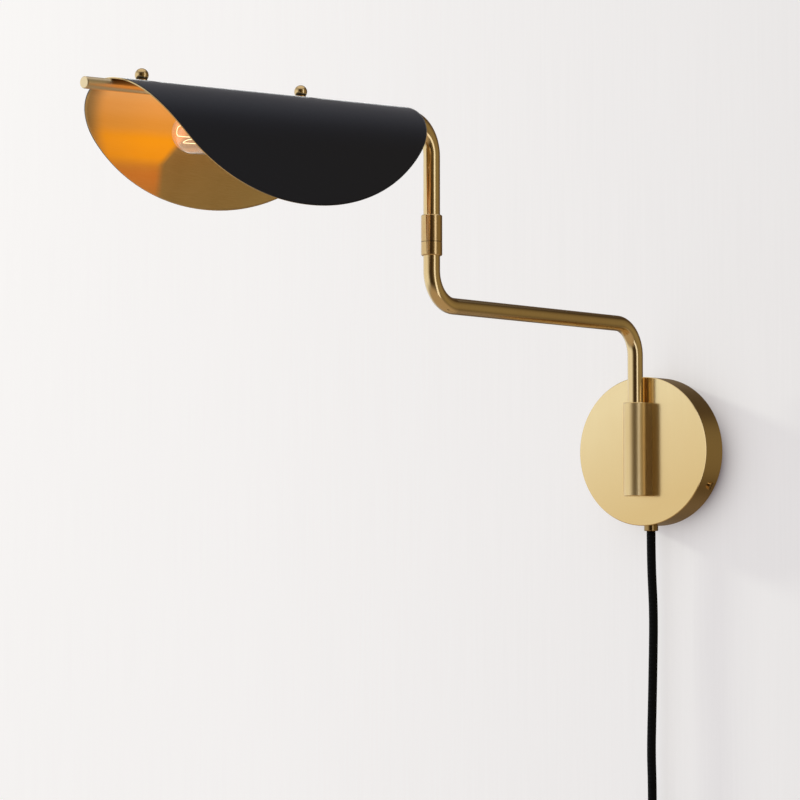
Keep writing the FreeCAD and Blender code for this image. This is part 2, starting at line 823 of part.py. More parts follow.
def make_shade_rod():
    outline = [(0, block_end - spigot_length), (spigot_radius, block_end - spigot_length),
               (spigot_radius, block_end), (rod_radius, block_end), (rod_radius, rod_end - rod_chamfer),
               (rod_radius - rod_chamfer, rod_end), (0, rod_end)]
    rod = turned(outline, ORIGIN, TO_ROOM)
    for place in finial_places:
        start = at(place, 0, rod_radius - finial_stud_depth)
        rod = rod.cut(cylinder(finial_stud_radius + screw_gap, finial_stud_depth + overrun, start, Z_AXIS))
    return rod_frame(rod, shade_roll)


def crest_drop(girth):
    """How far the outer surface lies below the crest, a length of sheet away from it."""
    bend = math.radians(shade_crest_angle)
    arc_length = shade_crest_radius * bend
    if girth <= arc_length:
        return shade_crest_radius * (1 - math.cos(girth / shade_crest_radius))
    return shade_crest_radius * (1 - math.cos(bend)) + (girth - arc_length) * math.sin(bend)


def bent_sheet_section():
    """Cross-section of the bent sheet: one arc over the rod and a straight flap on each side."""
    bend = math.radians(shade_crest_angle)
    inner = shade_crest_radius - shade_thickness
    centre_z = crest_height - shade_crest_radius
    flap = shade_half_girth - shade_crest_radius * bend + overrun

    def arc_point(radius, angle):
        return Vector(radius * math.sin(angle), 0, centre_z + radius * math.cos(angle))

    def flap_end(radius, side):
        return arc_point(radius, side * bend) + Vector(side * math.cos(bend), 0, -math.sin(bend)) * flap

    outer_left = arc_point(shade_crest_radius, -bend)
    outer_right = arc_point(shade_crest_radius, bend)
    inner_left = arc_point(inner, -bend)
    inner_right = arc_point(inner, bend)
    edges = [
        Part.Arc(outer_left, arc_point(shade_crest_radius, 0), outer_right).toShape(),
        Part.LineSegment(outer_right, flap_end(shade_crest_radius, 1)).toShape(),
        Part.LineSegment(flap_end(shade_crest_radius, 1), flap_end(inner, 1)).toShape(),
        Part.LineSegment(flap_end(inner, 1), inner_right).toShape(),
        Part.Arc(inner_right, arc_point(inner, 0), inner_left).toShape(),
        Part.LineSegment(inner_left, flap_end(inner, -1)).toShape(),
        Part.LineSegment(flap_end(inner, -1), flap_end(shade_crest_radius, -1)).toShape(),
        Part.LineSegment(flap_end(shade_crest_radius, -1), outer_left).toShape(),
    ]
    return Part.Face(Part.Wire(edges))


def shade_side_outline():
    """The oval blank seen from the side once it is bent: it trims both flaps at once."""
    fullness = 2 / shade_oval_power
    points = []
    for step in range(shade_outline_steps + 1):
        angle = math.pi * step / shade_outline_steps
        reach = math.copysign(abs(math.cos(angle)) ** fullness, math.cos(angle))
        along = shade_centre - shade_half_length * reach
        drop = crest_drop(shade_half_girth * abs(math.sin(angle)) ** fullness)
        points.append(Vector(0, -along, crest_height - drop))
    curve = Part.BSplineCurve()
    curve.interpolate(points)
    above = Vector(0, 0, overrun)
    edges = [curve.toShape(), Part.makePolygon([points[-1], points[-1] + above, points[0] + above, points[0]])]
    return Part.Face(Part.Wire([edges[0]] + edges[1].Edges))


def make_shade():
    start = shade_centre - shade_half_length - overrun
    section = bent_sheet_section()
    section.translate(at(start))
    sheet = section.extrude(TO_ROOM * (2 * (shade_half_length + overrun)))
    outline = shade_side_outline()
    half_width = shade_half_girth
    outline.translate(-X_AXIS * half_width)
    shade = sheet.common(outline.extrude(X_AXIS * (2 * half_width)))
    for place in finial_places:
        low = at(place, 0, crest_height - shade_thickness - overrun)
        shade = shade.cut(cylinder(finial_stud_radius + hole_gap, shade_thickness + 2 * overrun, low, Z_AXIS))
    return rod_frame(shade, shade_roll)


def make_finials():
    solids = []
    for place in finial_places:
        seat = crest_height + finial_washer_thickness
        centre = at(place, 0, crest_height + finial_ball_height)
        ball = Part.makeSphere(finial_ball_radius, centre)
        neck = cylinder(finial_neck_radius, centre.z - seat, at(place, 0, seat), Z_AXIS)
        stud_bottom = rod_radius - finial_stud_depth + screw_gap
        stud = cylinder(finial_stud_radius, centre.z - stud_bottom, at(place, 0, stud_bottom), Z_AXIS)
        below = box_between(-finial_ball_radius * 2, finial_ball_radius * 2, -place - finial_ball_radius * 2,
                            -place + finial_ball_radius * 2, seat - finial_ball_radius, seat)
        solids.append(rod_frame(ball.cut(below).fuse([neck, stud]), shade_roll))
    return solids


def make_finial_washers():
    return [rod_frame(ring(finial_washer_radius, finial_stud_radius + hole_gap, finial_washer_thickness,
                           at(place, 0, crest_height), Z_AXIS), shade_roll) for place in finial_places]


def lamp_line(outward):
    return at(outward, 0, -lamp_drop)


def make_stem():
    start = block_end - stem_seat_depth
    end = cup_back + cup_wall + stem_nut_height
    return rod_frame(ring(stem_radius, stem_radius - stem_wall, end - start, lamp_line(start), TO_ROOM))


def make_stem_nut():
    start = cup_back + cup_wall
    corners = [Vector(stem_nut_radius * math.cos(k * math.pi / 3), -start,
                      -lamp_drop + stem_nut_radius * math.sin(k * math.pi / 3)) for k in range(7)]
    nut = Part.Face(Part.makePolygon(corners)).extrude(TO_ROOM * stem_nut_height)
    return rod_frame(nut.cut(cylinder(stem_radius, stem_nut_height + 2 * overrun,
                                      lamp_line(start - overrun), TO_ROOM)))


def make_socket_cup():
    cup = cylinder(cup_radius, cup_length, lamp_line(cup_back), TO_ROOM)
    back = [e for e in cup.Edges if e.BoundBox.YMin > -cup_back - running_gap]
    cup = cup.makeFillet(cup_round, back)
    hollow_radius = cup_radius - cup_wall
    hollow = cylinder(hollow_radius, cup_length, lamp_line(cup_back + cup_wall), TO_ROOM)
    hollow_back = [e for e in hollow.Edges if e.BoundBox.YMin > -cup_back - cup_wall - running_gap]
    cup = cup.cut(hollow.makeFillet(cup_round - cup_wall, hollow_back))
    return rod_frame(cup.cut(cylinder(stem_radius, cup_wall + 2 * overrun, lamp_line(cup_back - overrun), TO_ROOM)))


def make_lampholder_body():
    lip_radius = cup_radius
    outline = [
        (0, holder_body_start),
        (holder_body_radius - cup_round / 2, holder_body_start),
        (holder_body_radius, holder_body_start + cup_round),
        (holder_body_radius, cup_back + cup_length),
        (lip_radius, cup_back + cup_length),
        (lip_radius, cup_back + cup_length + holder_lip),
        (holder_body_radius, cup_back + cup_length + 2 * holder_lip),
        (holder_body_radius, holder_body_end),
        (lamp_bore_radius, holder_body_end),
        (lamp_bore_radius, lamp_bore_start),
        (0, lamp_bore_start),
    ]
    return rod_frame(turned(outline, lamp_line(0), TO_ROOM))


def make_screw_shell():
    outer = lamp_bore_radius - screw_shell_gap
    length = holder_body_end - lamp_bore_start - screw_shell_short
    floor = ring(outer, contact_radius + screw_shell_short, screw_shell_wall, lamp_line(lamp_bore_start), TO_ROOM)
    wall = ring(outer, outer - screw_shell_wall, length, lamp_line(lamp_bore_start), TO_ROOM)
    return rod_frame(wall.fuse(floor))


def make_centre_contact():
    return rod_frame(cylinder(contact_radius, contact_thickness, lamp_line(lamp_bore_start), TO_ROOM))


# Bulb


def bulb_start():
    return lamp_bore_start + contact_thickness


def cap_start():
    return bulb_start() + bulb_contact_height + insulator_length


def make_bulb_contact():
    return rod_frame(cylinder(bulb_contact_radius, bulb_contact_height, lamp_line(bulb_start()), TO_ROOM))


def make_bulb_insulator():
    start = bulb_start() + bulb_contact_height
    outline = [(0, start), (bulb_contact_radius, start), (insulator_radius, cap_start()),
               (cap_radius - cap_wall, cap_start()), (cap_radius - cap_wall, cap_start() + cap_wall),
               (0, cap_start() + cap_wall)]
    return rod_frame(turned(outline, lamp_line(0), TO_ROOM))


def make_bulb_cap():
    start = cap_start()
    return rod_frame(ring(cap_radius, cap_radius - cap_wall, cap_length, lamp_line(start), TO_ROOM))


def glass_body(shrink):
    """A tubular bulb: neck in the cap, a sloping shoulder and a domed end."""
    neck = bulb_neck_radius - shrink
    wide = bulb_radius - shrink
    start = cap_start() + cap_length - glass_in_cap
    shoulder = cap_start() + cap_length
    tip = bulb_tip - shrink
    round_centre = bulb_tip - bulb_radius
    axis = lamp_line(0)

    def point(radius, along):
        return axis + Vector(radius, -along, 0)

    lean = math.sqrt(0.5)
    edges = [
        Part.LineSegment(point(0, start), point(neck, start)).toShape(),
        Part.LineSegment(point(neck, start), point(neck, shoulder)).toShape(),
        Part.LineSegment(point(neck, shoulder), point(wide, shoulder + bulb_shoulder)).toShape(),
        Part.LineSegment(point(wide, shoulder + bulb_shoulder), point(wide, round_centre)).toShape(),
        Part.Arc(point(wide, round_centre), point(wide * lean, round_centre + wide * lean),
                 point(0, tip)).toShape(),
        Part.LineSegment(point(0, tip), point(0, start)).toShape(),
    ]
    return Part.Face(Part.Wire(edges)).revolve(axis, TO_ROOM, 360)


def make_bulb_glass():
    inside = glass_body(bulb_wall)
    mouth = cylinder(bulb_neck_radius - bulb_wall, bulb_wall + overrun,
                     lamp_line(cap_start() + cap_length - glass_in_cap - overrun), TO_ROOM)
    return rod_frame(glass_body(0).cut(inside.fuse(mouth)))


def make_glass_stem():
    start = cap_start() + cap_length - glass_in_cap
    flare = bulb_neck_radius - bulb_wall
    outline = [(0, start), (flare, start), (flare, start + glass_stem_base_length / 4),
               (glass_stem_radius, start + glass_stem_base_length),
               (glass_stem_radius, start + glass_stem_length), (0, start + glass_stem_length)]
    return rod_frame(turned(outline, lamp_line(0), TO_ROOM))


def stem_cone_place(radius):
    """Distance along the lamp's line at which the glass stem's cone has this radius."""
    start = cap_start() + cap_length - glass_in_cap
    flare = bulb_neck_radius - bulb_wall
    cone_start = glass_stem_base_length / 4
    fall = (flare - radius) / (flare - glass_stem_radius)
    return start + cone_start + fall * (glass_stem_base_length - cone_start)


def make_filament():
    """Long hairpins round the glass stem, one unbroken wire whose two ends reach the stem's foot."""
    foot = stem_cone_place(filament_circle - filament_radius)
    points = []
    for leg in range(filament_legs):
        angle = FULL_TURN * leg / filament_legs + math.pi / filament_legs / 2
        across = filament_circle * math.cos(angle)
        up = filament_circle * math.sin(angle) - lamp_drop
        near = foot if leg in (0, filament_legs - 1) else filament_start
        ends = (near, filament_end) if leg % 2 == 0 else (filament_end, near)
        points.extend(at(end, across, up) for end in ends)
    wire = Part.makePolygon(points)
    section = Part.Wire([Part.makeCircle(filament_radius, points[0], points[1] - points[0])])
    square_corners = 1
    return rod_frame(Part.Solid(wire.makePipeShell([section], True, False, square_corners)))


# Free cord, in-line switch, coil and plug


def cord_route_path():
    points = [Vector(*p) for p in drop_route]
    radii = []
    for i in range(1, len(points) - 1):
        before = points[i - 1] - points[i]
        after = points[i + 1] - points[i]
        half_turn = (math.pi - before.getAngle(after)) / 2
        radii.append(arc_share * min(before.Length, after.Length) / math.tan(half_turn))
    return bent_path(points, radii), radii


def path_length(edges):
    return sum(edge.Length for edge in edges)


def make_cord_drop():
    edges, radii = cord_route_path()
    solid = swept(edges, cord_radius)
    length = path_length(edges)
    print("cord drop: length %.1f, arc radii %s, volume over section times length %.4f"
          % (length, [round(r) for r in radii], solid.Volume / (math.pi * cord_radius ** 2 * length)))
    return solid


def make_switch_grommets():
    solids = []
    for z, direction in ((switch_top, Z_AXIS), (switch_bottom, -Z_AXIS)):
        base = Vector(0, -cord_from_wall, z)
        solids.append(Part.makeCone(grommet_wide_radius, grommet_narrow_radius, grommet_length, base, direction))
    return solids


def switch_outline(inset):
    """A long body, widest at its middle, with arcs for its sides."""
    half = switch_length / 2 - inset
    end = switch_end_half_width - inset
    middle = switch_half_width - inset

    def point(x, z):
        return Vector(x, 0, switch_middle + z)

    edges = [
        Part.Arc(point(end, -half), point(middle, 0), point(end, half)).toShape(),
        Part.LineSegment(point(end, half), point(-end, half)).toShape(),
        Part.Arc(point(-end, half), point(-middle, 0), point(-end, -half)).toShape(),
        Part.LineSegment(point(-end, -half), point(end, -half)).toShape(),
    ]
    return Part.Face(Part.Wire(edges))


def switch_front_y():
    return -cord_from_wall - switch_thickness / 2


def switch_back_y():
    return -cord_from_wall + switch_thickness / 2


def switch_block(inset):
    face = switch_outline(inset)
    face.translate(Vector(0, switch_back_y() - inset, 0))
    return face.extrude(TO_ROOM * (switch_thickness - 2 * inset))


def switch_screw_bores(radius, start_y, length):
    return Part.makeCompound([cylinder(radius, length, Vector(0, start_y, switch_middle + side * switch_screw_offset),
                                       TO_ROOM) for side in (-1, 1)])


def switch_half(front):
    body = switch_block(0)
    sharp = [e for e in body.Edges if e.BoundBox.YMax - e.BoundBox.YMin < running_gap]
    body = body.makeFillet(switch_round, sharp).cut(switch_block(switch_wall))
    pillars = switch_screw_bores(switch_head_radius + switch_wall / 2, switch_back_y() - switch_wall,
                                 switch_thickness - 2 * switch_wall)
    body = body.fuse(pillars.Solids)
    far = switch_length
    y0, y1 = (-cord_from_wall, switch_front_y() - overrun) if front else (-cord_from_wall, switch_back_y() + overrun)
    half = body.common(box_between(-far, far, y0, y1, switch_bottom - far, switch_top + far))
    thread = switch_thickness - switch_wall - switch_head_height
    return half.cut(switch_screw_bores(switch_screw_radius + screw_gap, switch_back_y(), thread))


def make_switch_base():
    base = switch_half(False)
    recess = switch_screw_bores(switch_head_radius + screw_gap, switch_back_y() + overrun,
                                switch_head_height + overrun)
    return base.cut(recess)


def axle_y():
    return switch_front_y() + rocker_axle_depth


def make_switch_cover():
    cover = switch_half(True)
    half_x = window_width / 2
    half_z = window_length / 2
    frame_back = switch_front_y() + window_frame_depth
    frame = box_between(-half_x - window_frame_wall, half_x + window_frame_wall, switch_front_y() + switch_wall / 2,
                        frame_back, switch_middle - half_z - window_frame_wall,
                        switch_middle + half_z + window_frame_wall)
    cover = cover.fuse(frame)
    cover = cover.cut(box_between(-half_x, half_x, switch_front_y() - overrun, frame_back + overrun,
                                  switch_middle - half_z, switch_middle + half_z))
    reach = half_x + rocker_axle_length
    axle = cylinder(rocker_axle_radius + running_gap, 2 * reach, Vector(-reach, axle_y(), switch_middle), X_AXIS)
    return cover.cut(axle).removeSplitter()


def make_rocker():
    half = rocker_width / 2
    drum = cylinder(rocker_radius, rocker_width, Vector(-half, axle_y(), switch_middle), X_AXIS)
    size = rocker_radius * 2
    back = box_between(-size, size, axle_y() + rocker_back_depth, axle_y() + size,
                       switch_middle - size, switch_middle + size)
    body = drum.cut(back)
    valley_y = switch_front_y() + rocker_valley_depth
    for side in (-1, 1):
        wedge = box_between(-size, size, valley_y - size, valley_y, switch_middle, switch_middle + side * size)
        tilt = turn(wedge, Vector(0, valley_y, switch_middle), X_AXIS, -side * rocker_valley_angle)
        body = body.cut(tilt)
    reach = half + (window_width - rocker_width) / 2 + rocker_axle_length - running_gap
    body = body.fuse(cylinder(rocker_axle_radius, 2 * reach, Vector(-reach, axle_y(), switch_middle), X_AXIS))
    return turn(body, Vector(0, axle_y(), switch_middle), X_AXIS, rocker_tilt)


def make_switch_screws():
    solids = []
    for side in (-1, 1):
        z = switch_middle + side * switch_screw_offset
        head = Vector(0, switch_back_y() - switch_head_height, z)
        tip = Vector(0, switch_front_y() + switch_wall + switch_head_height, z)
        solids.append(screw(tip, head, switch_screw_radius, switch_head_radius, switch_head_height, True))
    return solids


def make_switch_core():
    back = switch_back_y() - switch_wall
    front = switch_front_y() + window_frame_depth + core_gap
    half = core_width / 2
    return box_between(-half, half, back, front, switch_middle - core_length / 2, switch_middle + core_length / 2)


def coil_centre():
    top = switch_bottom - grommet_length - coil_entry_straight - coil_entry_bend
    return Vector(coil_entry_bend, -cord_from_wall, top - coil_outer_radius)


def coil_point(turned_angle):
    """Place on the coil after a turned angle: in to the middle, up one layer, and out again."""
    inward = coil_inward_turns * FULL_TURN
    climb = coil_climb_turns * FULL_TURN
    inner = coil_outer_radius - coil_pitch * coil_inward_turns
    if turned_angle <= inward:
        radius = coil_outer_radius - coil_pitch * turned_angle / FULL_TURN
        layer_share = 0.0
    elif turned_angle <= inward + climb:
        climbed = (turned_angle - inward) / climb
        radius = inner - coil_climb_dip * (1 - math.cos(FULL_TURN * climbed)) / 2
        layer_share = (1 - math.cos(math.pi * climbed)) / 2
    else:
        radius = inner + coil_pitch * (turned_angle - inward - climb) / FULL_TURN
        layer_share = 1.0
    a = math.pi / 2 - turned_angle
    return coil_centre() + Vector(radius * math.cos(a), -coil_layer_step * layer_share, radius * math.sin(a))


def coil_tangent(turned_angle, start, end):
    step = FULL_TURN / 3600
    low = max(turned_angle - step, start)
    high = min(turned_angle + step, end)
    return (coil_point(high) - coil_point(low)).normalize()


def coil_path():
    total = (coil_inward_turns + coil_climb_turns + coil_outward_turns) * FULL_TURN
    top = Vector(0, -cord_from_wall, switch_bottom - grommet_length)
    bend_start = top - Z_AXIS * coil_entry_straight
    edges = [Part.LineSegment(top, bend_start).toShape()]
    edges += biarc(bend_start, -Z_AXIS, coil_point(0), coil_tangent(0, 0, total))
    count = round(total / FULL_TURN * biarcs_per_turn)
    for k in range(count):
        a = total * k / count
        b = total * (k + 1) / count
        edges += biarc(coil_point(a), coil_tangent(a, 0, total), coil_point(b), coil_tangent(b, 0, total))
    last = coil_point(total)
    tail = last + Vector(coil_end_shift, 0, -coil_tail_drop)
    edges += biarc(last, coil_tangent(total, 0, total), tail, -Z_AXIS)
    edges.append(Part.LineSegment(tail, tail - Z_AXIS * coil_tail_straight).toShape())
    return edges


def least_self_gap(edges, diameter):
    """Smallest clear gap between parts of the path at least half an inner turn apart."""
    points = []
    run = 0.0
    for edge in edges:
        steps = max(2, int(edge.Length / diameter * 4))
        for k in range(steps):
            t = edge.FirstParameter + (edge.LastParameter - edge.FirstParameter) * k / steps
            points.append((run + edge.Length * k / steps, edge.valueAt(t)))
        run += edge.Length
    apart = coil_outer_radius * 2
    least = min((p - q).Length for i, (s, p) in enumerate(points) for r, q in points[i + 1:] if r - s > apart)
    return least - diameter


def plug_top():
    total = (coil_inward_turns + coil_climb_turns + coil_outward_turns) * FULL_TURN
    return coil_point(total) + Vector(coil_end_shift, 0, -coil_tail_drop - coil_tail_straight)


def make_cord_coil():
    edges = coil_path()
    solid = swept(edges, cord_radius)
    length = path_length(edges)
    print("coil: length %.1f, least gap to itself %.2f, volume over section times length %.4f"
          % (length, least_self_gap(edges, 2 * cord_radius), solid.Volume / (math.pi * cord_radius ** 2 * length)))
    return solid


def make_cord_tie():
    """A flat strap round the bundle of turns near the top of the coil."""
    after_top = math.radians(90 - tie_angle)
    turns_in = [after_top + k * FULL_TURN for k in range(3)]
    out_start = (coil_inward_turns + coil_climb_turns) * FULL_TURN
    first_out = out_start + (after_top - out_start) % FULL_TURN
    turns_out = [first_out + k * FULL_TURN for k in range(3)]
    total = out_start + coil_outward_turns * FULL_TURN
    angles = [a for a in turns_in if a <= coil_inward_turns * FULL_TURN] + [a for a in turns_out if a <= total]
    centre = coil_centre()
    radii = [math.hypot(p.x - centre.x, p.z - centre.z) for p in (coil_point(a) for a in angles)]
    margin = cord_radius + tie_gap
    drift = coil_pitch * tie_width / 2 / FULL_TURN
    inner_low = math.sqrt((min(radii) - cord_radius) ** 2 - (tie_width / 2) ** 2) - tie_gap - drift / min(radii)
    inner_high = max(radii) + margin + drift / max(radii)
    back = margin
    front = -coil_layer_step - margin

    def band(grow, width):
        block = box_between(inner_low - grow, inner_high + grow, back + grow, front - grow, -width / 2, width / 2)
        edges = [e for e in block.Edges if e.BoundBox.ZMax - e.BoundBox.ZMin > width / 2]
        return block.makeFillet(margin + grow, edges)

    strap = band(tie_thickness, tie_width).cut(band(0, tie_width + 2 * overrun))
    strap.rotate(ORIGIN, TO_ROOM, tie_angle)
    strap.translate(centre)
    return strap


def make_plug_relief():
    top = plug_top()
    step = plug_relief_length / (2 * plug_relief_ribs)
    growth = (plug_relief_wide_radius - plug_relief_narrow_radius) / (2 * plug_relief_ribs - 1)
    outline = [(0, 0)]
    for k in range(2 * plug_relief_ribs):
        groove = plug_relief_groove if k % 2 else 0
        radius = plug_relief_narrow_radius + growth * k - groove
        outline += [(radius, step * k), (radius, step * (k + 1))]
    outline.append((0, plug_relief_length))
    return turned(outline, top, -Z_AXIS)


def plug_section(width, thickness, z):
    centre = plug_top()
    hw = width / 2
    ht = thickness / 2
    points = [Vector(centre.x + sx * hw, centre.y + sy * ht, z)
              for sx, sy in ((-1, -1), (1, -1), (1, 1), (-1, 1), (-1, -1))]
    return Part.makePolygon(points)


def make_plug_body():
    top = plug_top().z - plug_relief_length
    shoulder = top - plug_length * (1 - plug_shoulder_share)
    bottom = top - plug_length
    narrow = 2 * plug_relief_wide_radius
    taper = Part.makeLoft([plug_section(narrow, narrow, top), plug_section(plug_width, plug_thickness, shoulder)],
                          True, True)
    block = Part.makeLoft([plug_section(plug_width, plug_thickness, shoulder),
                           plug_section(plug_width, plug_thickness, bottom)], True, True)
    body = taper.fuse(block).removeSplitter()
    sides = [e for e in body.Edges if e.BoundBox.ZMax - e.BoundBox.ZMin > plug_round]
    body = body.makeFillet(plug_round, sides)
    return body.cut(Part.makeCompound(blade_boxes(screw_gap, 0)))


def blade_boxes(gap, proud):
    centre = plug_top()
    bottom = centre.z - plug_relief_length - plug_length
    solids = []
    for side in (-1, 1):
        x = centre.x + side * blade_spacing / 2
        low = bottom - proud if proud else bottom - overrun
        solids.append(box_between(x - blade_thickness / 2 - gap, x + blade_thickness / 2 + gap,
                                  centre.y - blade_width / 2 - gap, centre.y + blade_width / 2 + gap,
                                  low, bottom + blade_seat))
    return solids


def make_plug_blades():
    return blade_boxes(0, blade_length)


PIECES = {
    "wall_plate": make_wall_plate,
    "canopy": make_canopy,
    "rim_screws": make_rim_screws,
    "arm_holder": make_holder,
    "holder_bush": make_holder_bush,
    "thrust_washer": make_thrust_washer,
    "backing_plate": make_backing_plate,
    "holder_screws": make_holder_screws,
    "stop_screw": make_stop_screw,
    "cord_gland": make_gland,
    "gland_nut": make_gland_nut,
    "inner_cord": make_inner_cord,
    "cord_clamp": make_cord_clamp,
    "clamp_screw": make_clamp_screw,
    "wire_connectors": make_connectors,
    "lead_wires": make_lead_wires,
    "arm_tube": make_arm_tube,
    "arm_foot": make_arm_foot,
    "lower_collar": make_lower_collar,
    "pivot_nipple": make_pivot_nipple,
    "swivel_washer": make_swivel_washer,
    "swivel_pin": make_swivel_pin,
    "wave_washer": make_wave_washer,
    "swivel_nut": make_swivel_nut,
    "upper_collar": make_upper_collar,
    "shade_tube": make_shade_tube,
    "end_block": make_end_block,
    "shade_rod": make_shade_rod,
    "shade": make_shade,
    "finials": make_finials,
    "finial_washers": make_finial_washers,
    "socket_stem": make_stem,
    "stem_nut": make_stem_nut,
    "socket_cup": make_socket_cup,
    "lampholder_body": make_lampholder_body,
    "screw_shell": make_screw_shell,
    "centre_contact": make_centre_contact,
    "bulb_contact": make_bulb_contact,
    "bulb_insulator": make_bulb_insulator,
    "bulb_cap": make_bulb_cap,
    "bulb_glass": make_bulb_glass,
    "bulb_stem": make_glass_stem,
    "filament": make_filament,
    "cord_drop": make_cord_drop,
    "switch_grommets": make_switch_grommets,
    "switch_base": make_switch_base,
    "switch_cover": make_switch_cover,
    "switch_rocker": make_rocker,
    "switch_screws": make_switch_screws,
    "switch_core": make_switch_core,
    "cord_coil": make_cord_coil,
    "cord_tie": make_cord_tie,
    "plug_relief": make_plug_relief,
    "plug_body": make_plug_body,
    "plug_blades": make_plug_blades,
}

os.makedirs("parts", exist_ok=True)
for piece_name, make_piece in PIECES.items():
    save(piece_name, make_piece())
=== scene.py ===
import json
import math

import bpy
from mathutils import Matrix, Vector


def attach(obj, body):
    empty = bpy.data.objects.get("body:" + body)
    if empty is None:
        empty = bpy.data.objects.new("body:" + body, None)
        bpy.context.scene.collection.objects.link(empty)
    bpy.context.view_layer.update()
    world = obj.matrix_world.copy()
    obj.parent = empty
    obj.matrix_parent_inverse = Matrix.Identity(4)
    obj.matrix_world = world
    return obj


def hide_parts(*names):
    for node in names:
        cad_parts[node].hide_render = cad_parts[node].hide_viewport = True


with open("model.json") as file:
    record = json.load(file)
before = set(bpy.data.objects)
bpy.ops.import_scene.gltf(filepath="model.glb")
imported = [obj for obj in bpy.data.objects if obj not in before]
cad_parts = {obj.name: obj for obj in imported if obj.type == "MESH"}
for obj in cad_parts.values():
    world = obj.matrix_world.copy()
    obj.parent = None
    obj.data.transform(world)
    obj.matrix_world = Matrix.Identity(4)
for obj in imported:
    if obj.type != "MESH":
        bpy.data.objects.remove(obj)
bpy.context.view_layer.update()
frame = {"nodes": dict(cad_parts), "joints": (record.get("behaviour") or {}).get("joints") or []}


# The camera stands to the right of the light, a little below it, and looks slightly up at the wall.
# Its place, turn and lens were worked out from the outlines in the photograph. The scene is in metres, and MM
# turns a size given in millimetres into them.
MM = 0.001
camera_place_mm = Vector((1217.1, -1948.0, -77.7))
camera_turn = math.radians(37.275)
camera_rise = math.radians(3.011)
lens_mm = 126.0
sensor_mm = 36.0
nearest_seen = 0.05
farthest_seen = 60.0

camera_data = bpy.data.cameras.new("photo_camera")
camera_data.lens = lens_mm
camera_data.sensor_width = sensor_mm
camera_data.clip_start = nearest_seen
camera_data.clip_end = farthest_seen
camera = bpy.data.objects.new("photo_camera", camera_data)
camera.location = camera_place_mm * MM
camera.rotation_euler = (math.pi / 2 + camera_rise, 0, camera_turn)
bpy.context.scene.collection.objects.link(camera)
bpy.context.scene.camera = camera


# The wall is pale matt paint on plaster, rolled on upright, so it has a fine stipple and faint upright
# lines. It takes the soft shadows, and glows with a painted light of its own. This light is painted fainter
# toward the right, and has a violet painted contact shadow close to the canopy's rim. From behind the wall is
# clear, so that the light's back shows. It is not part of the light.


def linear(hex_colour):
    """An sRGB hex colour as linear red, green, blue and full alpha."""
    channels = [int(hex_colour[i:i + 2], 16) / 255 for i in (1, 3, 5)]
    return tuple(c / 12.92 if c <= 0.04045 else ((c + 0.055) / 1.055) ** 2.4 for c in channels) + (1.0,)


def add(tree, kind, inputs=None, **settings):
    """Adds a node with its settings, and gives its inputs their values or links."""
    node = tree.nodes.new(kind)
    for name, value in settings.items():
        setattr(node, name, value)
    for socket, value in (inputs or {}).items():
        if isinstance(value, bpy.types.NodeSocket):
            tree.links.new(value, node.inputs[socket])
        else:
            node.inputs[socket].default_value = value
    return node


def empty_material(name):
    material = bpy.data.materials.new(name)
    material.use_nodes = True
    material.node_tree.nodes.clear()
    return material, material.node_tree


def mesh_object(name, vertices, faces, material, smooth=True):
    mesh = bpy.data.meshes.new(name)
    mesh.from_pydata([tuple(v) for v in vertices], [], faces)
    mesh.update()
    piece = bpy.data.objects.new(name, mesh)
    bpy.context.scene.collection.objects.link(piece)
    mesh.materials.append(material)
    for face in mesh.polygons:
        face.use_smooth = smooth
    return piece


stipple_size_mm = 3.0
stipple_relief_mm = 0.4
roller_line_mm = 2.5
roller_run_mm = 120.0
roller_depth = 0.012
left_edge = -0.45
right_edge = 0.12
left_painted_light = 0.640
right_painted_light = 0.593
canopy_reach_mm = 60.3
painted_shadow_shift_mm = Vector((14.0, 0.3, -6.0))
painted_shadow_fade_mm = 10.0
painted_shadow_depth = 0.19

wall_paint, tree = empty_material("rolled_wall_paint")
place = add(tree, "ShaderNodeTexCoord")
stipple = add(tree, "ShaderNodeTexNoise", {"Vector": place.outputs["Object"],
                                           "Scale": 1 / (stipple_size_mm * MM), "Detail": 3.0,
                                           "Roughness": 0.6})
relief = add(tree, "ShaderNodeBump", {"Height": stipple.outputs["Fac"], "Strength": 0.05,
                                      "Distance": stipple_relief_mm * MM})
matt = add(tree, "ShaderNodeBsdfDiffuse", {"Color": linear("#A8A8A8"), "Normal": relief.outputs["Normal"]})
across = add(tree, "ShaderNodeSeparateXYZ", {0: place.outputs["Object"]})
# The wall's own glow is a painted light, painted fainter toward the right as the light falls off.
painted_falloff = add(tree, "ShaderNodeMapRange", {"Value": across.outputs["X"], "From Min": left_edge,
                                          "From Max": right_edge, "To Min": left_painted_light, "To Max": right_painted_light})
# Close to the canopy's rim the glow turns violet and dark: a painted contact shadow.
from_canopy = add(tree, "ShaderNodeVectorMath", {0: place.outputs["Object"], 1: painted_shadow_shift_mm * MM},
                  operation="DISTANCE")
past_rim = add(tree, "ShaderNodeMath", {0: from_canopy.outputs["Value"], 1: canopy_reach_mm * MM},
               operation="SUBTRACT")
fading = add(tree, "ShaderNodeMath", {0: past_rim.outputs[0], 1: -1 / (painted_shadow_fade_mm * MM)},
             operation="MULTIPLY")
faded = add(tree, "ShaderNodeMath", {0: fading.outputs[0]}, operation="EXPONENT")
painted_rim_shadow = add(tree, "ShaderNodeMath", {0: faded.outputs[0], 1: painted_shadow_depth}, operation="MULTIPLY",
                use_clamp=True)
tone = add(tree, "ShaderNodeMix", {0: painted_rim_shadow.outputs[0], 6: linear("#FDF9FA"), 7: linear("#2A244A")},
           data_type="RGBA")
line_scale = (1 / (roller_line_mm * MM), 1.0, 1 / (roller_run_mm * MM))
upright = add(tree, "ShaderNodeMapping", {"Vector": place.outputs["Object"], "Scale": line_scale})
lines = add(tree, "ShaderNodeTexNoise", {"Vector": upright.outputs[0], "Scale": 1.0, "Detail": 2.0})
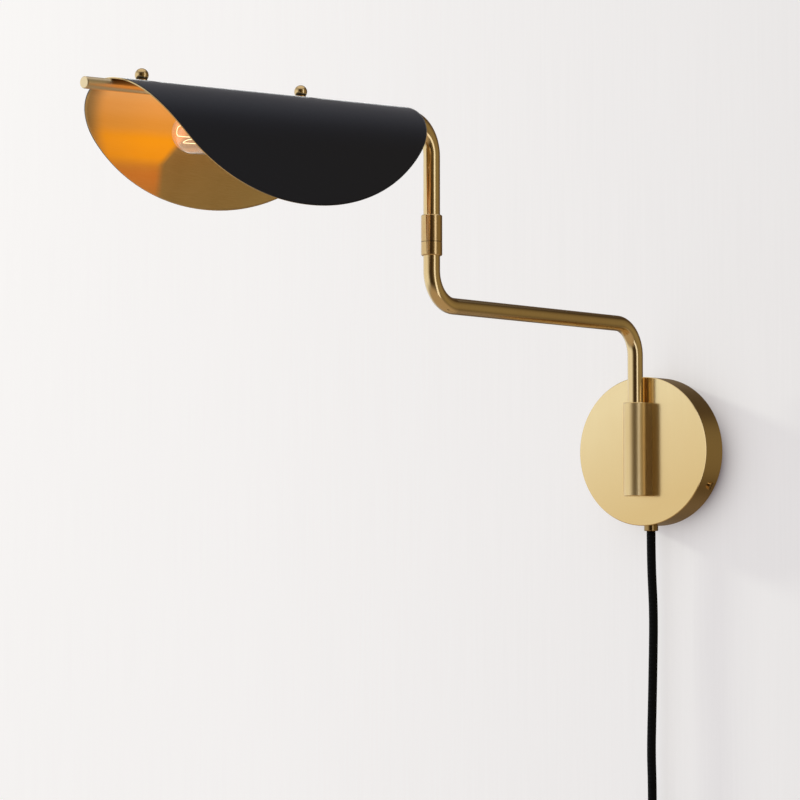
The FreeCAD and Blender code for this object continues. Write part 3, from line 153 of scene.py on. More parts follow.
faint = add(tree, "ShaderNodeMapRange", {"Value": lines.outputs["Fac"], "From Min": 0.3, "From Max": 0.7,
                                         "To Min": 1 - roller_depth, "To Max": 1 + roller_depth})
rolled = add(tree, "ShaderNodeMath", {0: painted_falloff.outputs["Result"], 1: faint.outputs["Result"]},
             operation="MULTIPLY")
painted_wall_light = add(tree, "ShaderNodeEmission", {"Color": tone.outputs[2], "Strength": rolled.outputs[0]})
lit = add(tree, "ShaderNodeAddShader", {0: matt.outputs[0], 1: painted_wall_light.outputs[0]})
nothing = add(tree, "ShaderNodeBsdfTransparent")
side = add(tree, "ShaderNodeNewGeometry")
one_sided = add(tree, "ShaderNodeMixShader", {0: side.outputs["Backfacing"], 1: lit.outputs[0],
                                              2: nothing.outputs[0]})
add(tree, "ShaderNodeOutputMaterial", {"Surface": one_sided.outputs[0]})

wall_gap = 0.3 * MM
wall_reach = 4.0
wall = mesh_object("wall", [(-wall_reach, wall_gap, -wall_reach), (wall_reach, wall_gap, -wall_reach),
                            (wall_reach, wall_gap, wall_reach), (-wall_reach, wall_gap, wall_reach)],
                   [(0, 1, 2, 3)], wall_paint, smooth=False)
floor_depth = -1.5
floor = mesh_object("floor", [(-wall_reach, -wall_reach, floor_depth), (wall_reach, -wall_reach, floor_depth),
                              (wall_reach, wall_gap, floor_depth), (-wall_reach, wall_gap, floor_depth)],
                    [(0, 1, 2, 3)], wall_paint, smooth=False)
for backdrop in (wall, floor):
    backdrop.visible_diffuse = False
    backdrop.visible_glossy = False
    backdrop.visible_shadow = False


# The room is a studio: tall pale windows all along the left, dark round the camera, and dim and warm with
# wood on the right. A soft box hangs overhead and the floor is pale, which draws the long bands on brass.
# Each band has its bearing from the wall's front, in degrees, and its colour.
room_bands = (
    (-180, "#5A4C3A"), (-152, "#6A5E50"), (-141, "#746A5E"), (-128, "#C6C8CA"), (-112, "#E6E8EA"),
    (-90, "#E6ECF2"), (-60, "#E6ECF2"), (-32, "#EDF3FA"), (-12, "#CED2D8"), (-1, "#8E887C"), (9, "#4A4236"),
    (20, "#3C3226"), (42, "#3C3226"), (56, "#62583F"), (75, "#7E745A"), (95, "#887C60"), (112, "#887D60"),
    (130, "#8C8062"), (149, "#786C52"), (165, "#584A36"), (180, "#5A4C3A"),
)
band_strength = 1.2
band_strength_high_up = 0.35 * band_strength
bands_fade = (0.25, 0.75)
soft_box_strength = 0.9
soft_box_fade = (0.57, 0.88)
floor_strength = 0.6
floor_fade = (-0.40, -0.80)
room = bpy.data.worlds.new("studio")
bpy.context.scene.world = room
room.use_nodes = True
tree = room.node_tree
tree.nodes.clear()
toward = add(tree, "ShaderNodeTexCoord")
parts = add(tree, "ShaderNodeSeparateXYZ", {0: toward.outputs["Generated"]})
into_room = add(tree, "ShaderNodeMath", {0: parts.outputs["Y"], 1: -1.0}, operation="MULTIPLY")
turn = add(tree, "ShaderNodeMath", {0: parts.outputs["X"], 1: into_room.outputs[0]}, operation="ARCTAN2")
share = add(tree, "ShaderNodeMapRange", {"Value": turn.outputs[0], "From Min": -math.pi, "From Max": math.pi})
bands = add(tree, "ShaderNodeValToRGB", {"Fac": share.outputs["Result"]})
bands.color_ramp.interpolation = "EASE"
stops = bands.color_ramp.elements
for _ in range(len(room_bands) - 2):
    stops.new(0.5)
for stop, (degrees, hex_colour) in zip(stops, room_bands):
    stop.position = (degrees + 180) / 360
    stop.color = linear(hex_colour)
height = add(tree, "ShaderNodeMath", {0: parts.outputs["Z"]}, operation="ABSOLUTE")
fade = add(tree, "ShaderNodeMapRange", {"Value": height.outputs[0], "From Min": bands_fade[0],
                                        "From Max": bands_fade[1], "To Min": band_strength,
                                        "To Max": band_strength_high_up}, interpolation_type="SMOOTHSTEP")
walls = add(tree, "ShaderNodeBackground", {"Color": bands.outputs["Color"],
                                           "Strength": fade.outputs["Result"]})
soft_box = add(tree, "ShaderNodeBackground", {"Color": linear("#FAFAFC"), "Strength": soft_box_strength})
overhead = add(tree, "ShaderNodeMapRange", {"Value": parts.outputs["Z"], "From Min": soft_box_fade[0],
                                            "From Max": soft_box_fade[1]}, interpolation_type="SMOOTHSTEP")
shine = add(tree, "ShaderNodeMixShader", {0: overhead.outputs["Result"], 1: walls.outputs[0],
                                          2: soft_box.outputs[0]})
pale_floor = add(tree, "ShaderNodeBackground", {"Color": linear("#E6D2B8"), "Strength": floor_strength})
underfoot = add(tree, "ShaderNodeMapRange", {"Value": parts.outputs["Z"], "From Min": floor_fade[0],
                                             "From Max": floor_fade[1]}, interpolation_type="SMOOTHSTEP")
shine = add(tree, "ShaderNodeMixShader", {0: underfoot.outputs["Result"], 1: shine.outputs[0],
                                          2: pale_floor.outputs[0]})
plain = add(tree, "ShaderNodeBackground", {"Color": linear("#EDEBE9"), "Strength": 1.0})
ray = add(tree, "ShaderNodeLightPath")
seen = add(tree, "ShaderNodeMixShader", {0: ray.outputs["Is Camera Ray"], 1: shine.outputs[0],
                                         2: plain.outputs[0]})
add(tree, "ShaderNodeOutputWorld", {"Surface": seen.outputs[0]})

bpy.context.scene.view_settings.view_transform = "Standard"
bpy.context.scene.view_settings.look = "None"


# The key light grazes the wall from the upper left, so that the canopy's shadow runs far to the right.
# A tall narrow window stands close by on the right: only brass mirrors it, as one thin bright line.


def soft_light(name, place_mm, target_mm, size_mm, watts, hex_colour):
    """A soft rectangular light that faces its target and is not seen itself."""
    lamp = bpy.data.lights.new(name, "AREA")
    lamp.shape = "RECTANGLE"
    lamp.size, lamp.size_y = (side * MM for side in size_mm)
    lamp.energy = watts
    lamp.color = linear(hex_colour)[:3]
    holder = bpy.data.objects.new(name, lamp)
    holder.location = Vector(place_mm) * MM
    aim = (Vector(target_mm) - Vector(place_mm)).normalized()
    holder.rotation_euler = aim.to_track_quat("-Z", "Y").to_euler()
    holder.visible_camera = False
    bpy.context.scene.collection.objects.link(holder)
    return holder


key = soft_light("grazing_key", place_mm=(-3600, -780, 1476), target_mm=(60, -20, 0), size_mm=(400, 400),
                 watts=146, hex_colour="#FAFFF0")
key.visible_glossy = False
window = soft_light("side_window", place_mm=(815, -450, 100), target_mm=(0, -150, 80), size_mm=(300, 1600),
                    watts=2.05, hex_colour="#E0EAFF")
window.visible_diffuse = False


# The canopy is a drum spun from brass sheet, rubbed upright with fine grit and lacquered. The rubbing leaves
# lines finer than a hair, drawn here about 0.3 mm wide so that they show, and softens every reflection
# along them. The clear lacquer adds a thin, whiter gloss. The face is painted deeper and more orange toward
# its lower right, as painted shade on the side that the light falls on less.


def satin_brass(name, lines_along, light_hex, deep_hex, roughness, lacquer=0.25, painted_shade_hex=None):
    """Satin brass, with its grit lines along one axis of the light: X, Y or Z."""
    grit_width_mm = 0.3
    grit_length_mm = 40.0
    grit_relief_mm = 0.002
    roughness_swing = 0.02
    patina_per_metre = 14.0
    painted_shade_fade = 0.05
    painted_shade_tilt = -0.4
    material, tree = empty_material(name)
    place = add(tree, "ShaderNodeTexCoord")
    across = 1 / (grit_width_mm * MM)
    along = 1 / (grit_length_mm * MM)
    scale = tuple(along if axis == lines_along else across for axis in "XYZ")
    stretched = add(tree, "ShaderNodeMapping", {"Vector": place.outputs["Object"], "Scale": scale})
    grit = add(tree, "ShaderNodeTexNoise", {"Vector": stretched.outputs[0], "Scale": 1.0, "Detail": 4.0,
                                            "Roughness": 0.65})
    patina = add(tree, "ShaderNodeTexNoise", {"Vector": place.outputs["Object"], "Scale": patina_per_metre,
                                              "Detail": 2.0})
    wander = add(tree, "ShaderNodeMath", {0: grit.outputs["Fac"], 1: patina.outputs["Fac"]}, operation="ADD")
    tone = add(tree, "ShaderNodeMapRange", {"Value": wander.outputs[0], "From Min": 0.7, "From Max": 1.3})
    colour = add(tree, "ShaderNodeMix", {0: tone.outputs["Result"], 6: linear(light_hex),
                                         7: linear(deep_hex)}, data_type="RGBA")
    # Painted shade: the colour turns deeper toward the lower right, away from the light.
    if painted_shade_hex:
        level = add(tree, "ShaderNodeSeparateXYZ", {0: place.outputs["Object"]})
        slant = add(tree, "ShaderNodeMath", {0: level.outputs["X"], 1: painted_shade_tilt, 2: level.outputs["Z"]},
                    operation="MULTIPLY_ADD")
        painted_shade = add(tree, "ShaderNodeMapRange", {"Value": slant.outputs[0], "From Min": painted_shade_fade,
                                                  "From Max": -painted_shade_fade})
        colour = add(tree, "ShaderNodeMix", {0: painted_shade.outputs["Result"], 6: colour.outputs[2],
                                             7: linear(painted_shade_hex)}, data_type="RGBA")
    rough = add(tree, "ShaderNodeMapRange", {"Value": grit.outputs["Fac"], "From Min": 0.3, "From Max": 0.7,
                                             "To Min": roughness - roughness_swing,
                                             "To Max": roughness + roughness_swing})
    relief = add(tree, "ShaderNodeBump", {"Height": grit.outputs["Fac"], "Strength": 0.35,
                                          "Distance": grit_relief_mm * MM})
    metal = add(tree, "ShaderNodeBsdfPrincipled", {"Base Color": colour.outputs[2], "Metallic": 1.0,
                                                   "Roughness": rough.outputs["Result"],
                                                   "Normal": relief.outputs["Normal"],
                                                   "Coat Weight": lacquer, "Coat Roughness": 0.10})
    add(tree, "ShaderNodeOutputMaterial", {"Surface": metal.outputs[0]})
    return material


def dress(node, material):
    """Gives a CAD piece its finish."""
    piece = frame["nodes"][node]
    piece.data.materials.clear()
    piece.data.materials.append(material)
    for face in piece.data.polygons:
        face.material_index = 0


dress("canopy", satin_brass("upright_rubbed_brass", "Z", "#EBD29E", "#E6C993", 0.20, painted_shade_hex="#DAB87C"))


# The holder is milled from brass bar with a round nose, rubbed lengthwise, and screwed on from inside the
# canopy. The bush in its bore is sintered bronze, browner and duller, and carries the arm's foot.
holder_brass = satin_brass("bar_brass", "Z", "#ECD19A", "#E0BE80", 0.40, lacquer=0.5)
dress("arm_holder", holder_brass)
dress("holder_bush", satin_brass("sintered_bronze", "X", "#B98D58", "#9A6E3E", 0.5))


# The arms are drawn brass tube, bent cold and rubbed along their length, with a turned foot at the lower
# end. The lampholder's stem and cup have the same finish. The shade rod is solid and duller. Its brass is
# painted paler, as painted light for the bright surroundings it mirrors.
tube_brass = satin_brass("drawn_brass", "Z", "#E6CA92", "#DCB97E", 0.14, lacquer=0.6)
for node in ("arm_tube", "shade_tube", "arm_foot", "socket_stem", "socket_cup"):
    dress(node, tube_brass)
dress("shade_rod", satin_brass("rod_brass_painted_light", "Y", "#F4DFB6", "#EACE9C", 0.36, lacquer=0.6))


# Collars, ball finials and rim screws are turned from bar on a lathe, and browner than the tube. The
# collars join the two arms, and the finials screw down through the shade's crest into the rod.
turned_brass = satin_brass("turned_brass", "X", "#DCBE88", "#CCA66C", 0.18)
for node in ("lower_collar", "upper_collar", "finials", "finial_washers", "rim_screws"):
    dress(node, turned_brass)


# The cord gland is turned too, and screws into the canopy's lower rim. It sits in the canopy's shade, so
# its brass is painted darkest on the light, as painted shade.
dress("cord_gland", satin_brass("gland_brass_painted_shade", "Z", "#A58450", "#886A3A", 0.16))


# Plain brass is stamped or turned and left as it comes. It is used where little shows: on the nuts and the
# nipple, in the lampholder, and for the plug's blades.
plain_brass = satin_brass("stamped_brass", "X", "#D9BC7C", "#BE9850", 0.35)
for node in ("gland_nut", "pivot_nipple", "swivel_nut", "stem_nut", "screw_shell", "centre_contact",
             "plug_blades"):
    dress(node, plain_brass)


# The wall plate, the backing plate and the small screws, pin and spring washer are steel, pressed or
# turned, with a thin grey zinc plating that dulls in soft clouds.
zinc, tree = empty_material("zinc_plated_steel")
place = add(tree, "ShaderNodeTexCoord")
clouds = add(tree, "ShaderNodeTexNoise", {"Vector": place.outputs["Object"], "Scale": 90.0, "Detail": 4.0})
dull = add(tree, "ShaderNodeMapRange", {"Value": clouds.outputs["Fac"], "From Min": 0.3, "From Max": 0.7,
                                        "To Min": 0.30, "To Max": 0.48})
tone = add(tree, "ShaderNodeMix", {0: clouds.outputs["Fac"], 6: linear("#B9BCBD"), 7: linear("#A3A6A6")},
           data_type="RGBA")
metal = add(tree, "ShaderNodeBsdfPrincipled", {"Base Color": tone.outputs[2], "Metallic": 1.0,
                                               "Roughness": dull.outputs["Result"]})
add(tree, "ShaderNodeOutputMaterial", {"Surface": metal.outputs[0]})
for node in ("wall_plate", "backing_plate", "holder_screws", "stop_screw", "clamp_screw", "swivel_pin",
             "wave_washer", "switch_screws"):
    dress(node, zinc)


# The switch, plug and cord clamp are moulded in black ABS, the grommets, strain relief, wires and swivel
# washer in soft PVC, and the thrust washer and switch core in nylon. The lampholder's body is glazed
# porcelain and the bulb's insulator black glass. Each has the fine grain of its mould or glaze.


def moulded(name, hex_colour, roughness, grain_mm, grain_relief_mm=0.02):
    """Moulded plastic, or glazed ware, with the fine grain of its mould."""
    roughness_swing = 0.05
    material, tree = empty_material(name)
    place = add(tree, "ShaderNodeTexCoord")
    grain = add(tree, "ShaderNodeTexNoise", {"Vector": place.outputs["Object"], "Scale": 1 / (grain_mm * MM),
                                             "Detail": 2.0})
    rough = add(tree, "ShaderNodeMapRange", {"Value": grain.outputs["Fac"], "From Min": 0.3, "From Max": 0.7,
                                             "To Min": roughness - roughness_swing,
                                             "To Max": roughness + roughness_swing})
    relief = add(tree, "ShaderNodeBump", {"Height": grain.outputs["Fac"], "Strength": 0.5,
                                          "Distance": grain_relief_mm * MM})
    plastic = add(tree, "ShaderNodeBsdfPrincipled", {"Base Color": linear(hex_colour),
                                                     "Roughness": rough.outputs["Result"],
                                                     "Normal": relief.outputs["Normal"]})
    add(tree, "ShaderNodeOutputMaterial", {"Surface": plastic.outputs[0]})
    return material


black_abs = moulded("black_abs", "#17171A", 0.45, 0.5)
for node in ("switch_base", "switch_cover", "switch_rocker", "plug_body", "cord_clamp"):
    dress(node, black_abs)
black_pvc = moulded("soft_black_pvc", "#141416", 0.55, 0.8)
for node in ("switch_grommets", "plug_relief", "lead_wires", "swivel_washer"):
    dress(node, black_pvc)
nylon = moulded("natural_nylon", "#DAD6C8", 0.4, 0.8)
for node in ("thrust_washer", "switch_core"):
    dress(node, nylon)
dress("wire_connectors", moulded("orange_connector", "#C05A18", 0.4, 0.8))
dress("lampholder_body", moulded("glazed_porcelain", "#E6E2D6", 0.18, 6.0, 0.01))
dress("bulb_insulator", moulded("black_vitrite", "#101014", 0.15, 4.0, 0.01))


# The shade is one oval sheet of brass, bent over a round former so that its crest lies on the rod and two
# flaps hang down. Its outside and most of its cut edge are painted matt black. Its inside and the rest of
# the edge are bare satin brass.
arm_joint = next(j for j in frame["joints"] if j["name"] == "arm_swing")
shade_joint = next(j for j in frame["joints"] if j["name"] == "shade_swing")
arm_pivot = Vector(arm_joint["pos_m"])
swivel = Vector(shade_joint["pos_m"])
arm_line = swivel - arm_pivot
head_twist = math.radians(0.6)
head_turn = math.atan2(arm_line.x, -arm_line.y) + head_twist
rod_height = 241.1 * MM
head_slope = math.radians(3.2)
shade_roll = math.radians(2.4)
rod_radius = 4.0 * MM
sheet_thickness = 0.8 * MM
sheet_seat = 0.1 * MM
half_length = 147.3 * MM
half_girth = 104.8 * MM
oval_power = 2.03
shade_middle = 185.6 * MM
bend_radius = 44.0 * MM
bend_angle = math.radians(82.0)
crest = rod_radius + sheet_seat + sheet_thickness
rod_frame = (Matrix.Translation((swivel.x, swivel.y, rod_height)) @ Matrix.Rotation(head_turn, 4, "Z")
             @ Matrix.Rotation(head_slope, 4, "X"))
rolled_frame = rod_frame @ Matrix.Rotation(shade_roll, 4, "Y")


def sheet_point(along, girth, depth):
    """A point of the bent sheet: along the rod, round the bend from the crest, and below the outside."""
    turn = min(abs(girth) / bend_radius, bend_angle)
    straight = abs(girth) - bend_radius * turn
    across = bend_radius * math.sin(turn) + straight * math.cos(turn) - depth * math.sin(turn)
    drop = bend_radius * (1 - math.cos(turn)) + straight * math.sin(turn) + depth * math.cos(turn)
    return rolled_frame @ Vector((math.copysign(across, girth), -along, crest - drop))


orange_peel_mm = 0.7
orange_peel_relief_mm = 0.02
black_paint, tree = empty_material("matt_black_paint")
place = add(tree, "ShaderNodeTexCoord")
orange_peel = add(tree, "ShaderNodeTexNoise", {"Vector": place.outputs["Object"],
                                               "Scale": 1 / (orange_peel_mm * MM), "Detail": 2.0})
relief = add(tree, "ShaderNodeBump", {"Height": orange_peel.outputs["Fac"], "Strength": 0.25,
                                      "Distance": orange_peel_relief_mm * MM})
rough = add(tree, "ShaderNodeMapRange", {"Value": orange_peel.outputs["Fac"], "From Min": 0.3,
                                         "From Max": 0.7, "To Min": 0.46, "To Max": 0.54})
paint = add(tree, "ShaderNodeBsdfPrincipled", {"Base Color": linear("#191B28"),
                                               "Roughness": rough.outputs["Result"],
                                               "Specular IOR Level": 0.4, "Specular Tint": linear("#DCE6FF"),
                                               "Sheen Weight": 0.60, "Sheen Roughness": 0.28,
                                               "Sheen Tint": linear("#F0F2FF"),
                                               "Normal": relief.outputs["Normal"]})
add(tree, "ShaderNodeOutputMaterial", {"Surface": paint.outputs[0]})
edge_brass = satin_brass("cut_brass", "Y", "#EBCF98", "#D8B478", 0.22)
inner_brass = satin_brass("sheet_brass", "Y", "#ECCC8E", "#DAB576", 0.38)

# The bulb's light on a band of the brass on each flap, beside its tip, is a painted glow in the brass's
# emission. The two flaps mirror each other there, so the painted light is brass-coloured twice over and turns
# a deep orange half way down. Each colour and strength stands at a share of the flap's girth, from the crest
# to the hem.
inner_metallic = 0.72
glow_colours = (
    (0.0, "#FFA950"), (0.20, "#FFB060"), (0.33, "#FFA448"), (0.47, "#FF9E30"), (0.56, "#FF9A00"),
    (0.68, "#FF9800"), (0.80, "#FF7C00"), (1.0, "#F07400"),
)
glow_strengths = (
    (0.0, 0.04), (0.10, 0.12), (0.20, 0.66), (0.33, 0.62), (0.47, 0.58), (0.57, 0.74), (0.66, 0.69),
    (0.76, 0.34), (1.0, 0.22),
)
glow_far_end_mm = 298.0
glow_far_girth_mm = 70.0
glow_far_slope = 0.45
glow_far_blur_mm = 9.0
glow_near_start_mm = 165.5
glow_near_end_mm = 241.0
glow_near_blur_mm = 5.0
glow_far_share = 0.96
glow_far_from_mm = 300.0
glow_near_share = 1.16
glow_near_from_mm = 250.0
rod_shade_share = 0.9
rod_shade_start_mm = 8.0
rod_shade_end_mm = 30.0

tree = inner_brass.node_tree
metal = tree.nodes["Principled BSDF"]
metal.inputs["Metallic"].default_value = inner_metallic
unrolled = add(tree, "ShaderNodeUVMap", uv_map="unrolled")
sheet_place = add(tree, "ShaderNodeSeparateXYZ", {0: unrolled.outputs[0]})
around = add(tree, "ShaderNodeMath", {0: sheet_place.outputs["Y"]}, operation="ABSOLUTE")
far_end = add(tree, "ShaderNodeMath", {0: around.outputs[0], 1: -glow_far_slope,
                                       2: (glow_far_end_mm + glow_far_slope * glow_far_girth_mm) * MM},
              operation="MULTIPLY_ADD")
slant = add(tree, "ShaderNodeMath", {0: around.outputs[0], 1: glow_near_start_mm * MM}, operation="ADD")
near_end = add(tree, "ShaderNodeMath", {0: slant.outputs[0], 1: glow_near_end_mm * MM}, operation="MINIMUM")
edges = []
for end, way, blur_mm in ((far_end, 1.0, glow_far_blur_mm), (near_end, -1.0, glow_near_blur_mm)):
    inside = add(tree, "ShaderNodeMath", {0: end.outputs[0], 1: sheet_place.outputs["X"]},
                 operation="SUBTRACT")
    edges.append(add(tree, "ShaderNodeMapRange", {"Value": inside.outputs[0], "From Min": -way * blur_mm * MM,
                                                  "From Max": way * blur_mm * MM},
                     interpolation_type="SMOOTHSTEP"))
within = add(tree, "ShaderNodeMath", {0: edges[0].outputs["Result"], 1: edges[1].outputs["Result"]},
             operation="MULTIPLY")
girth_share = add(tree, "ShaderNodeMapRange", {"Value": around.outputs[0], "From Max": half_girth})
glow_colour = add(tree, "ShaderNodeValToRGB", {"Fac": girth_share.outputs["Result"]})
glow_level = add(tree, "ShaderNodeValToRGB", {"Fac": girth_share.outputs["Result"]})
for ramp, places in ((glow_colour, glow_colours), (glow_level, glow_strengths)):
    ramp.color_ramp.interpolation = "EASE"
    for _ in range(len(places) - 2):
        ramp.color_ramp.elements.new(0.5)
    for stop, (where, what) in zip(ramp.color_ramp.elements, places):
        stop.position = where
        stop.color = linear(what) if isinstance(what, str) else (what, what, what, 1.0)
level = add(tree, "ShaderNodeSeparateColor", {0: glow_level.outputs["Color"]})
nearer = add(tree, "ShaderNodeMapRange", {"Value": sheet_place.outputs["X"],
                                          "From Min": glow_far_from_mm * MM,
                                          "From Max": glow_near_from_mm * MM, "To Min": glow_far_share,
                                          "To Max": glow_near_share}, interpolation_type="SMOOTHSTEP")
shone = add(tree, "ShaderNodeMath", {0: within.outputs[0], 1: nearer.outputs["Result"]}, operation="MULTIPLY")
strength = add(tree, "ShaderNodeMath", {0: level.outputs[0], 1: shone.outputs[0]}, operation="MULTIPLY")
tree.links.new(glow_colour.outputs["Color"], metal.inputs["Emission Color"])
tree.links.new(strength.outputs[0], metal.inputs["Emission Strength"])

# Under the painted glow the brass colour is painted deeper, and the narrow strip behind the rod is painted
# dark, as painted shade.
own_colour = metal.inputs["Base Color"].links[0].from_socket
deepened = add(tree, "ShaderNodeMix", {0: strength.outputs[0], 6: own_colour, 7: linear("#4E2400")},
               data_type="RGBA")
painted_rod_shade = add(tree, "ShaderNodeMapRange", {"Value": around.outputs[0], "From Min": rod_shade_start_mm * MM,
                                              "From Max": rod_shade_end_mm * MM, "To Min": rod_shade_share,
                                              "To Max": 0.0})
dimmed = add(tree, "ShaderNodeMix", {0: painted_rod_shade.outputs["Result"], 6: deepened.outputs[2],
                                     7: linear("#3C220C")}, data_type="RGBA")
tree.links.new(dimmed.outputs[2], metal.inputs["Base Color"])

# The flat oval blank is a grid squeezed into shape, once for the outside and once for the inside, and each
# of its points is bent over the former. A ring of faces closes the cut edge.
grid_steps = 112
vertices = []
sheet_places = []
faces = []
face_finish = []
for depth in (0.0, sheet_thickness):
    for i in range(grid_steps + 1):
        for j in range(grid_steps + 1):
            u = -1 + 2 * i / grid_steps
            v = -1 + 2 * j / grid_steps
            lengthwise = u * math.sqrt(1 - v * v / 2)
            crosswise = v * math.sqrt(1 - u * u / 2)
            away = math.hypot(lengthwise, crosswise) or 1.0
            corner = abs(lengthwise / away) ** oval_power + abs(crosswise / away) ** oval_power
            fullness = corner ** (1 / oval_power) or 1.0
            along = shade_middle + half_length * lengthwise / fullness
            girth = half_girth * crosswise / fullness
            vertices.append(sheet_point(along, girth, depth))
            sheet_places.append((along, girth))
row = grid_steps + 1
layer = row * row
PAINTED, BARE, CUT = 0, 1, 2
for i in range(grid_steps):
    for j in range(grid_steps):
        a = i * row + j
        faces.append((a, a + row, a + row + 1, a + 1))
        face_finish.append(PAINTED)
        faces.append((layer + a, layer + a + 1, layer + a + row + 1, layer + a + row))
        face_finish.append(BARE)
border = [j for j in range(grid_steps)]
border += [i * row + grid_steps for i in range(grid_steps)]
border += [grid_steps * row + j for j in range(grid_steps, 0, -1)]
border += [i * row for i in range(grid_steps, 0, -1)]
painted_edge = -14.0 * MM
painted_end = 80.0 * MM
for k, a in enumerate(border):
    b = border[(k + 1) % len(border)]
    faces.append((a, b, layer + b, layer + a))
    along, girth = sheet_places[a]
    face_finish.append(CUT if girth > painted_edge and along > painted_end else PAINTED)
shade = mesh_object("folded_shade", vertices, faces, black_paint)
shade.data.materials.append(inner_brass)
shade.data.materials.append(edge_brass)
sheet_faces = 2 * grid_steps * grid_steps
for face, finish in zip(shade.data.polygons, face_finish):
    face.material_index = finish
    face.use_smooth = face.index < sheet_faces
unrolled = shade.data.uv_layers.new(name="unrolled")
for loop in shade.data.loops:
    unrolled.data[loop.index].uv = sheet_places[loop.vertex_index]
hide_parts("shade")
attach(shade, "shade_arm")


# The end block that carries the rod and the lampholder is milled from brass bar. Its top is filed down
# toward the arm, so that it stays hidden behind the shade's rounded end.
block_start = 26.6 * MM
block_end = 37.0 * MM
filed_share = 0.6
to_rod = rod_frame.inverted()
end_block = bpy.data.objects.new("filed_end_block", frame["nodes"]["end_block"].data.copy())
bpy.context.scene.collection.objects.link(end_block)
end_block.data.materials.clear()
end_block.data.materials.append(holder_brass)
for vertex in end_block.data.vertices:
    place = to_rod @ vertex.co
    if place.z > 0:
        toward_arm = (block_end + place.y) / (block_end - block_start)
        place.z *= 1 - filed_share * toward_arm
        vertex.co = rod_frame @ place
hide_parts("end_block")
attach(end_block, "shade_arm")


# The bulb is a clear tube of blown glass with its filament on a glass stem. The glass waves a little. Its
# colour turns brown toward its rim where it is seen edge on, and it has a faint painted glow from the lit
# wire.
glass_waves_per_metre = 120.0
glass_wave_relief_mm = 0.8
rim_start = 0.70
rim_end = 0.95
glass_painted_glow = 0.05
clear_glass, tree = empty_material("blown_glass")
place = add(tree, "ShaderNodeTexCoord")
waves = add(tree, "ShaderNodeTexNoise", {"Vector": place.outputs["Object"], "Scale": glass_waves_per_metre,
                                         "Detail": 1.0})
relief = add(tree, "ShaderNodeBump", {"Height": waves.outputs["Fac"], "Strength": 0.3,
                                      "Distance": glass_wave_relief_mm * MM})
edge_on = add(tree, "ShaderNodeLayerWeight", {"Blend": 0.5})
rim = add(tree, "ShaderNodeMapRange", {"Value": edge_on.outputs["Facing"], "From Min": rim_start,
                                       "From Max": rim_end})
painted_glow = add(tree, "ShaderNodeMapRange", {"Value": rim.outputs["Result"], "To Min": glass_painted_glow,
                                          "To Max": 0.0})
edge_on_tint = add(tree, "ShaderNodeMix", {0: rim.outputs["Result"], 6: linear("#FFF4E6"),
                                         7: linear("#6A3C12")}, data_type="RGBA")
glass = add(tree, "ShaderNodeBsdfPrincipled", {"Base Color": edge_on_tint.outputs[2], "Roughness": 0.02,
                                               "IOR": 1.5, "Transmission Weight": 1.0,
                                               "Emission Color": linear("#FFE8D0"),
                                               "Emission Strength": painted_glow.outputs["Result"],
                                               "Normal": relief.outputs["Normal"]})
clear = add(tree, "ShaderNodeBsdfTransparent")
ray = add(tree, "ShaderNodeLightPath")
lets_light = add(tree, "ShaderNodeMixShader", {0: ray.outputs["Is Shadow Ray"], 1: glass.outputs[0],
                                               2: clear.outputs[0]})
add(tree, "ShaderNodeOutputMaterial", {"Surface": lets_light.outputs[0]})
dress("bulb_glass", clear_glass)
dress("bulb_stem", clear_glass)


# The filament is one thin tungsten wire, led from the stem up and down in hairpins round the bulb's axis,
# with its turns close to the bulb's tip. It glows warm white.
FULL_TURN = 2 * math.pi


def smooth_line(name, points_mm):
    """The smooth line that a cord or wire takes along its route's points."""
    shortest_step = 0.01 * MM
    curve = bpy.data.curves.new(name, "CURVE")
    curve.dimensions = "3D"
    curve.resolution_u = 8
    spline = curve.splines.new("NURBS")
    spline.points.add(len(points_mm) - 1)
    for point, where in zip(spline.points, points_mm):
        point.co = (*[c * MM for c in where], 1.0)
    spline.order_u = 3
    spline.use_endpoint_u = True
    carrier = bpy.data.objects.new(name, curve)
    bpy.context.scene.collection.objects.link(carrier)
    bpy.context.view_layer.update()
    line = bpy.data.meshes.new_from_object(carrier.evaluated_get(bpy.context.evaluated_depsgraph_get()))
    path = [v.co.copy() for v in line.vertices]
    bpy.data.objects.remove(carrier)
    bpy.data.curves.remove(curve)
    bpy.data.meshes.remove(line)
    return [p for i, p in enumerate(path) if i == 0 or (p - path[i - 1]).length > shortest_step]


def round_tube(name, path, radius, sides, material):
    """A round tube along the path, with its surface unrolled so that a braid can follow it."""
    last = len(path) - 1
    tangents = [(path[min(i + 1, last)] - path[max(i - 1, 0)]).normalized() for i in range(len(path))]
    normal = tangents[0].orthogonal().normalized()
    vertices = []
    run = [0.0]
    for i, (point, tangent) in enumerate(zip(path, tangents)):
        normal = (normal - tangent * normal.dot(tangent)).normalized()
        across = tangent.cross(normal)
        for k in range(sides):
            a = FULL_TURN * k / sides
            vertices.append(point + (normal * math.cos(a) + across * math.sin(a)) * radius)
        if i:
            run.append(run[-1] + (point - path[i - 1]).length)
    faces = []
    for i in range(last):
        for k in range(sides):
            here, after = i * sides, (i + 1) * sides
            faces.append((here + k, here + (k + 1) % sides, after + (k + 1) % sides, after + k))
    count = len(faces)
    faces.append(tuple(range(sides - 1, -1, -1)))
    faces.append(tuple(last * sides + k for k in range(sides)))
    tube = mesh_object(name, vertices, faces, material)
    unrolled = tube.data.uv_layers.new(name="unrolled")
    for index in range(count):
        ring, k = divmod(index, sides)
        corners = ((k, ring), (k + 1, ring), (k + 1, ring + 1), (k, ring + 1))
        for loop, (around, along) in zip(tube.data.polygons[index].loop_indices, corners):
            unrolled.data[loop].uv = (around / sides, run[along])
    return tube


glowing_wire, tree = empty_material("glowing_tungsten")
glow = add(tree, "ShaderNodeEmission", {"Color": linear("#FFE2B4"), "Strength": 2.0})
add(tree, "ShaderNodeOutputMaterial", {"Surface": glow.outputs[0]})

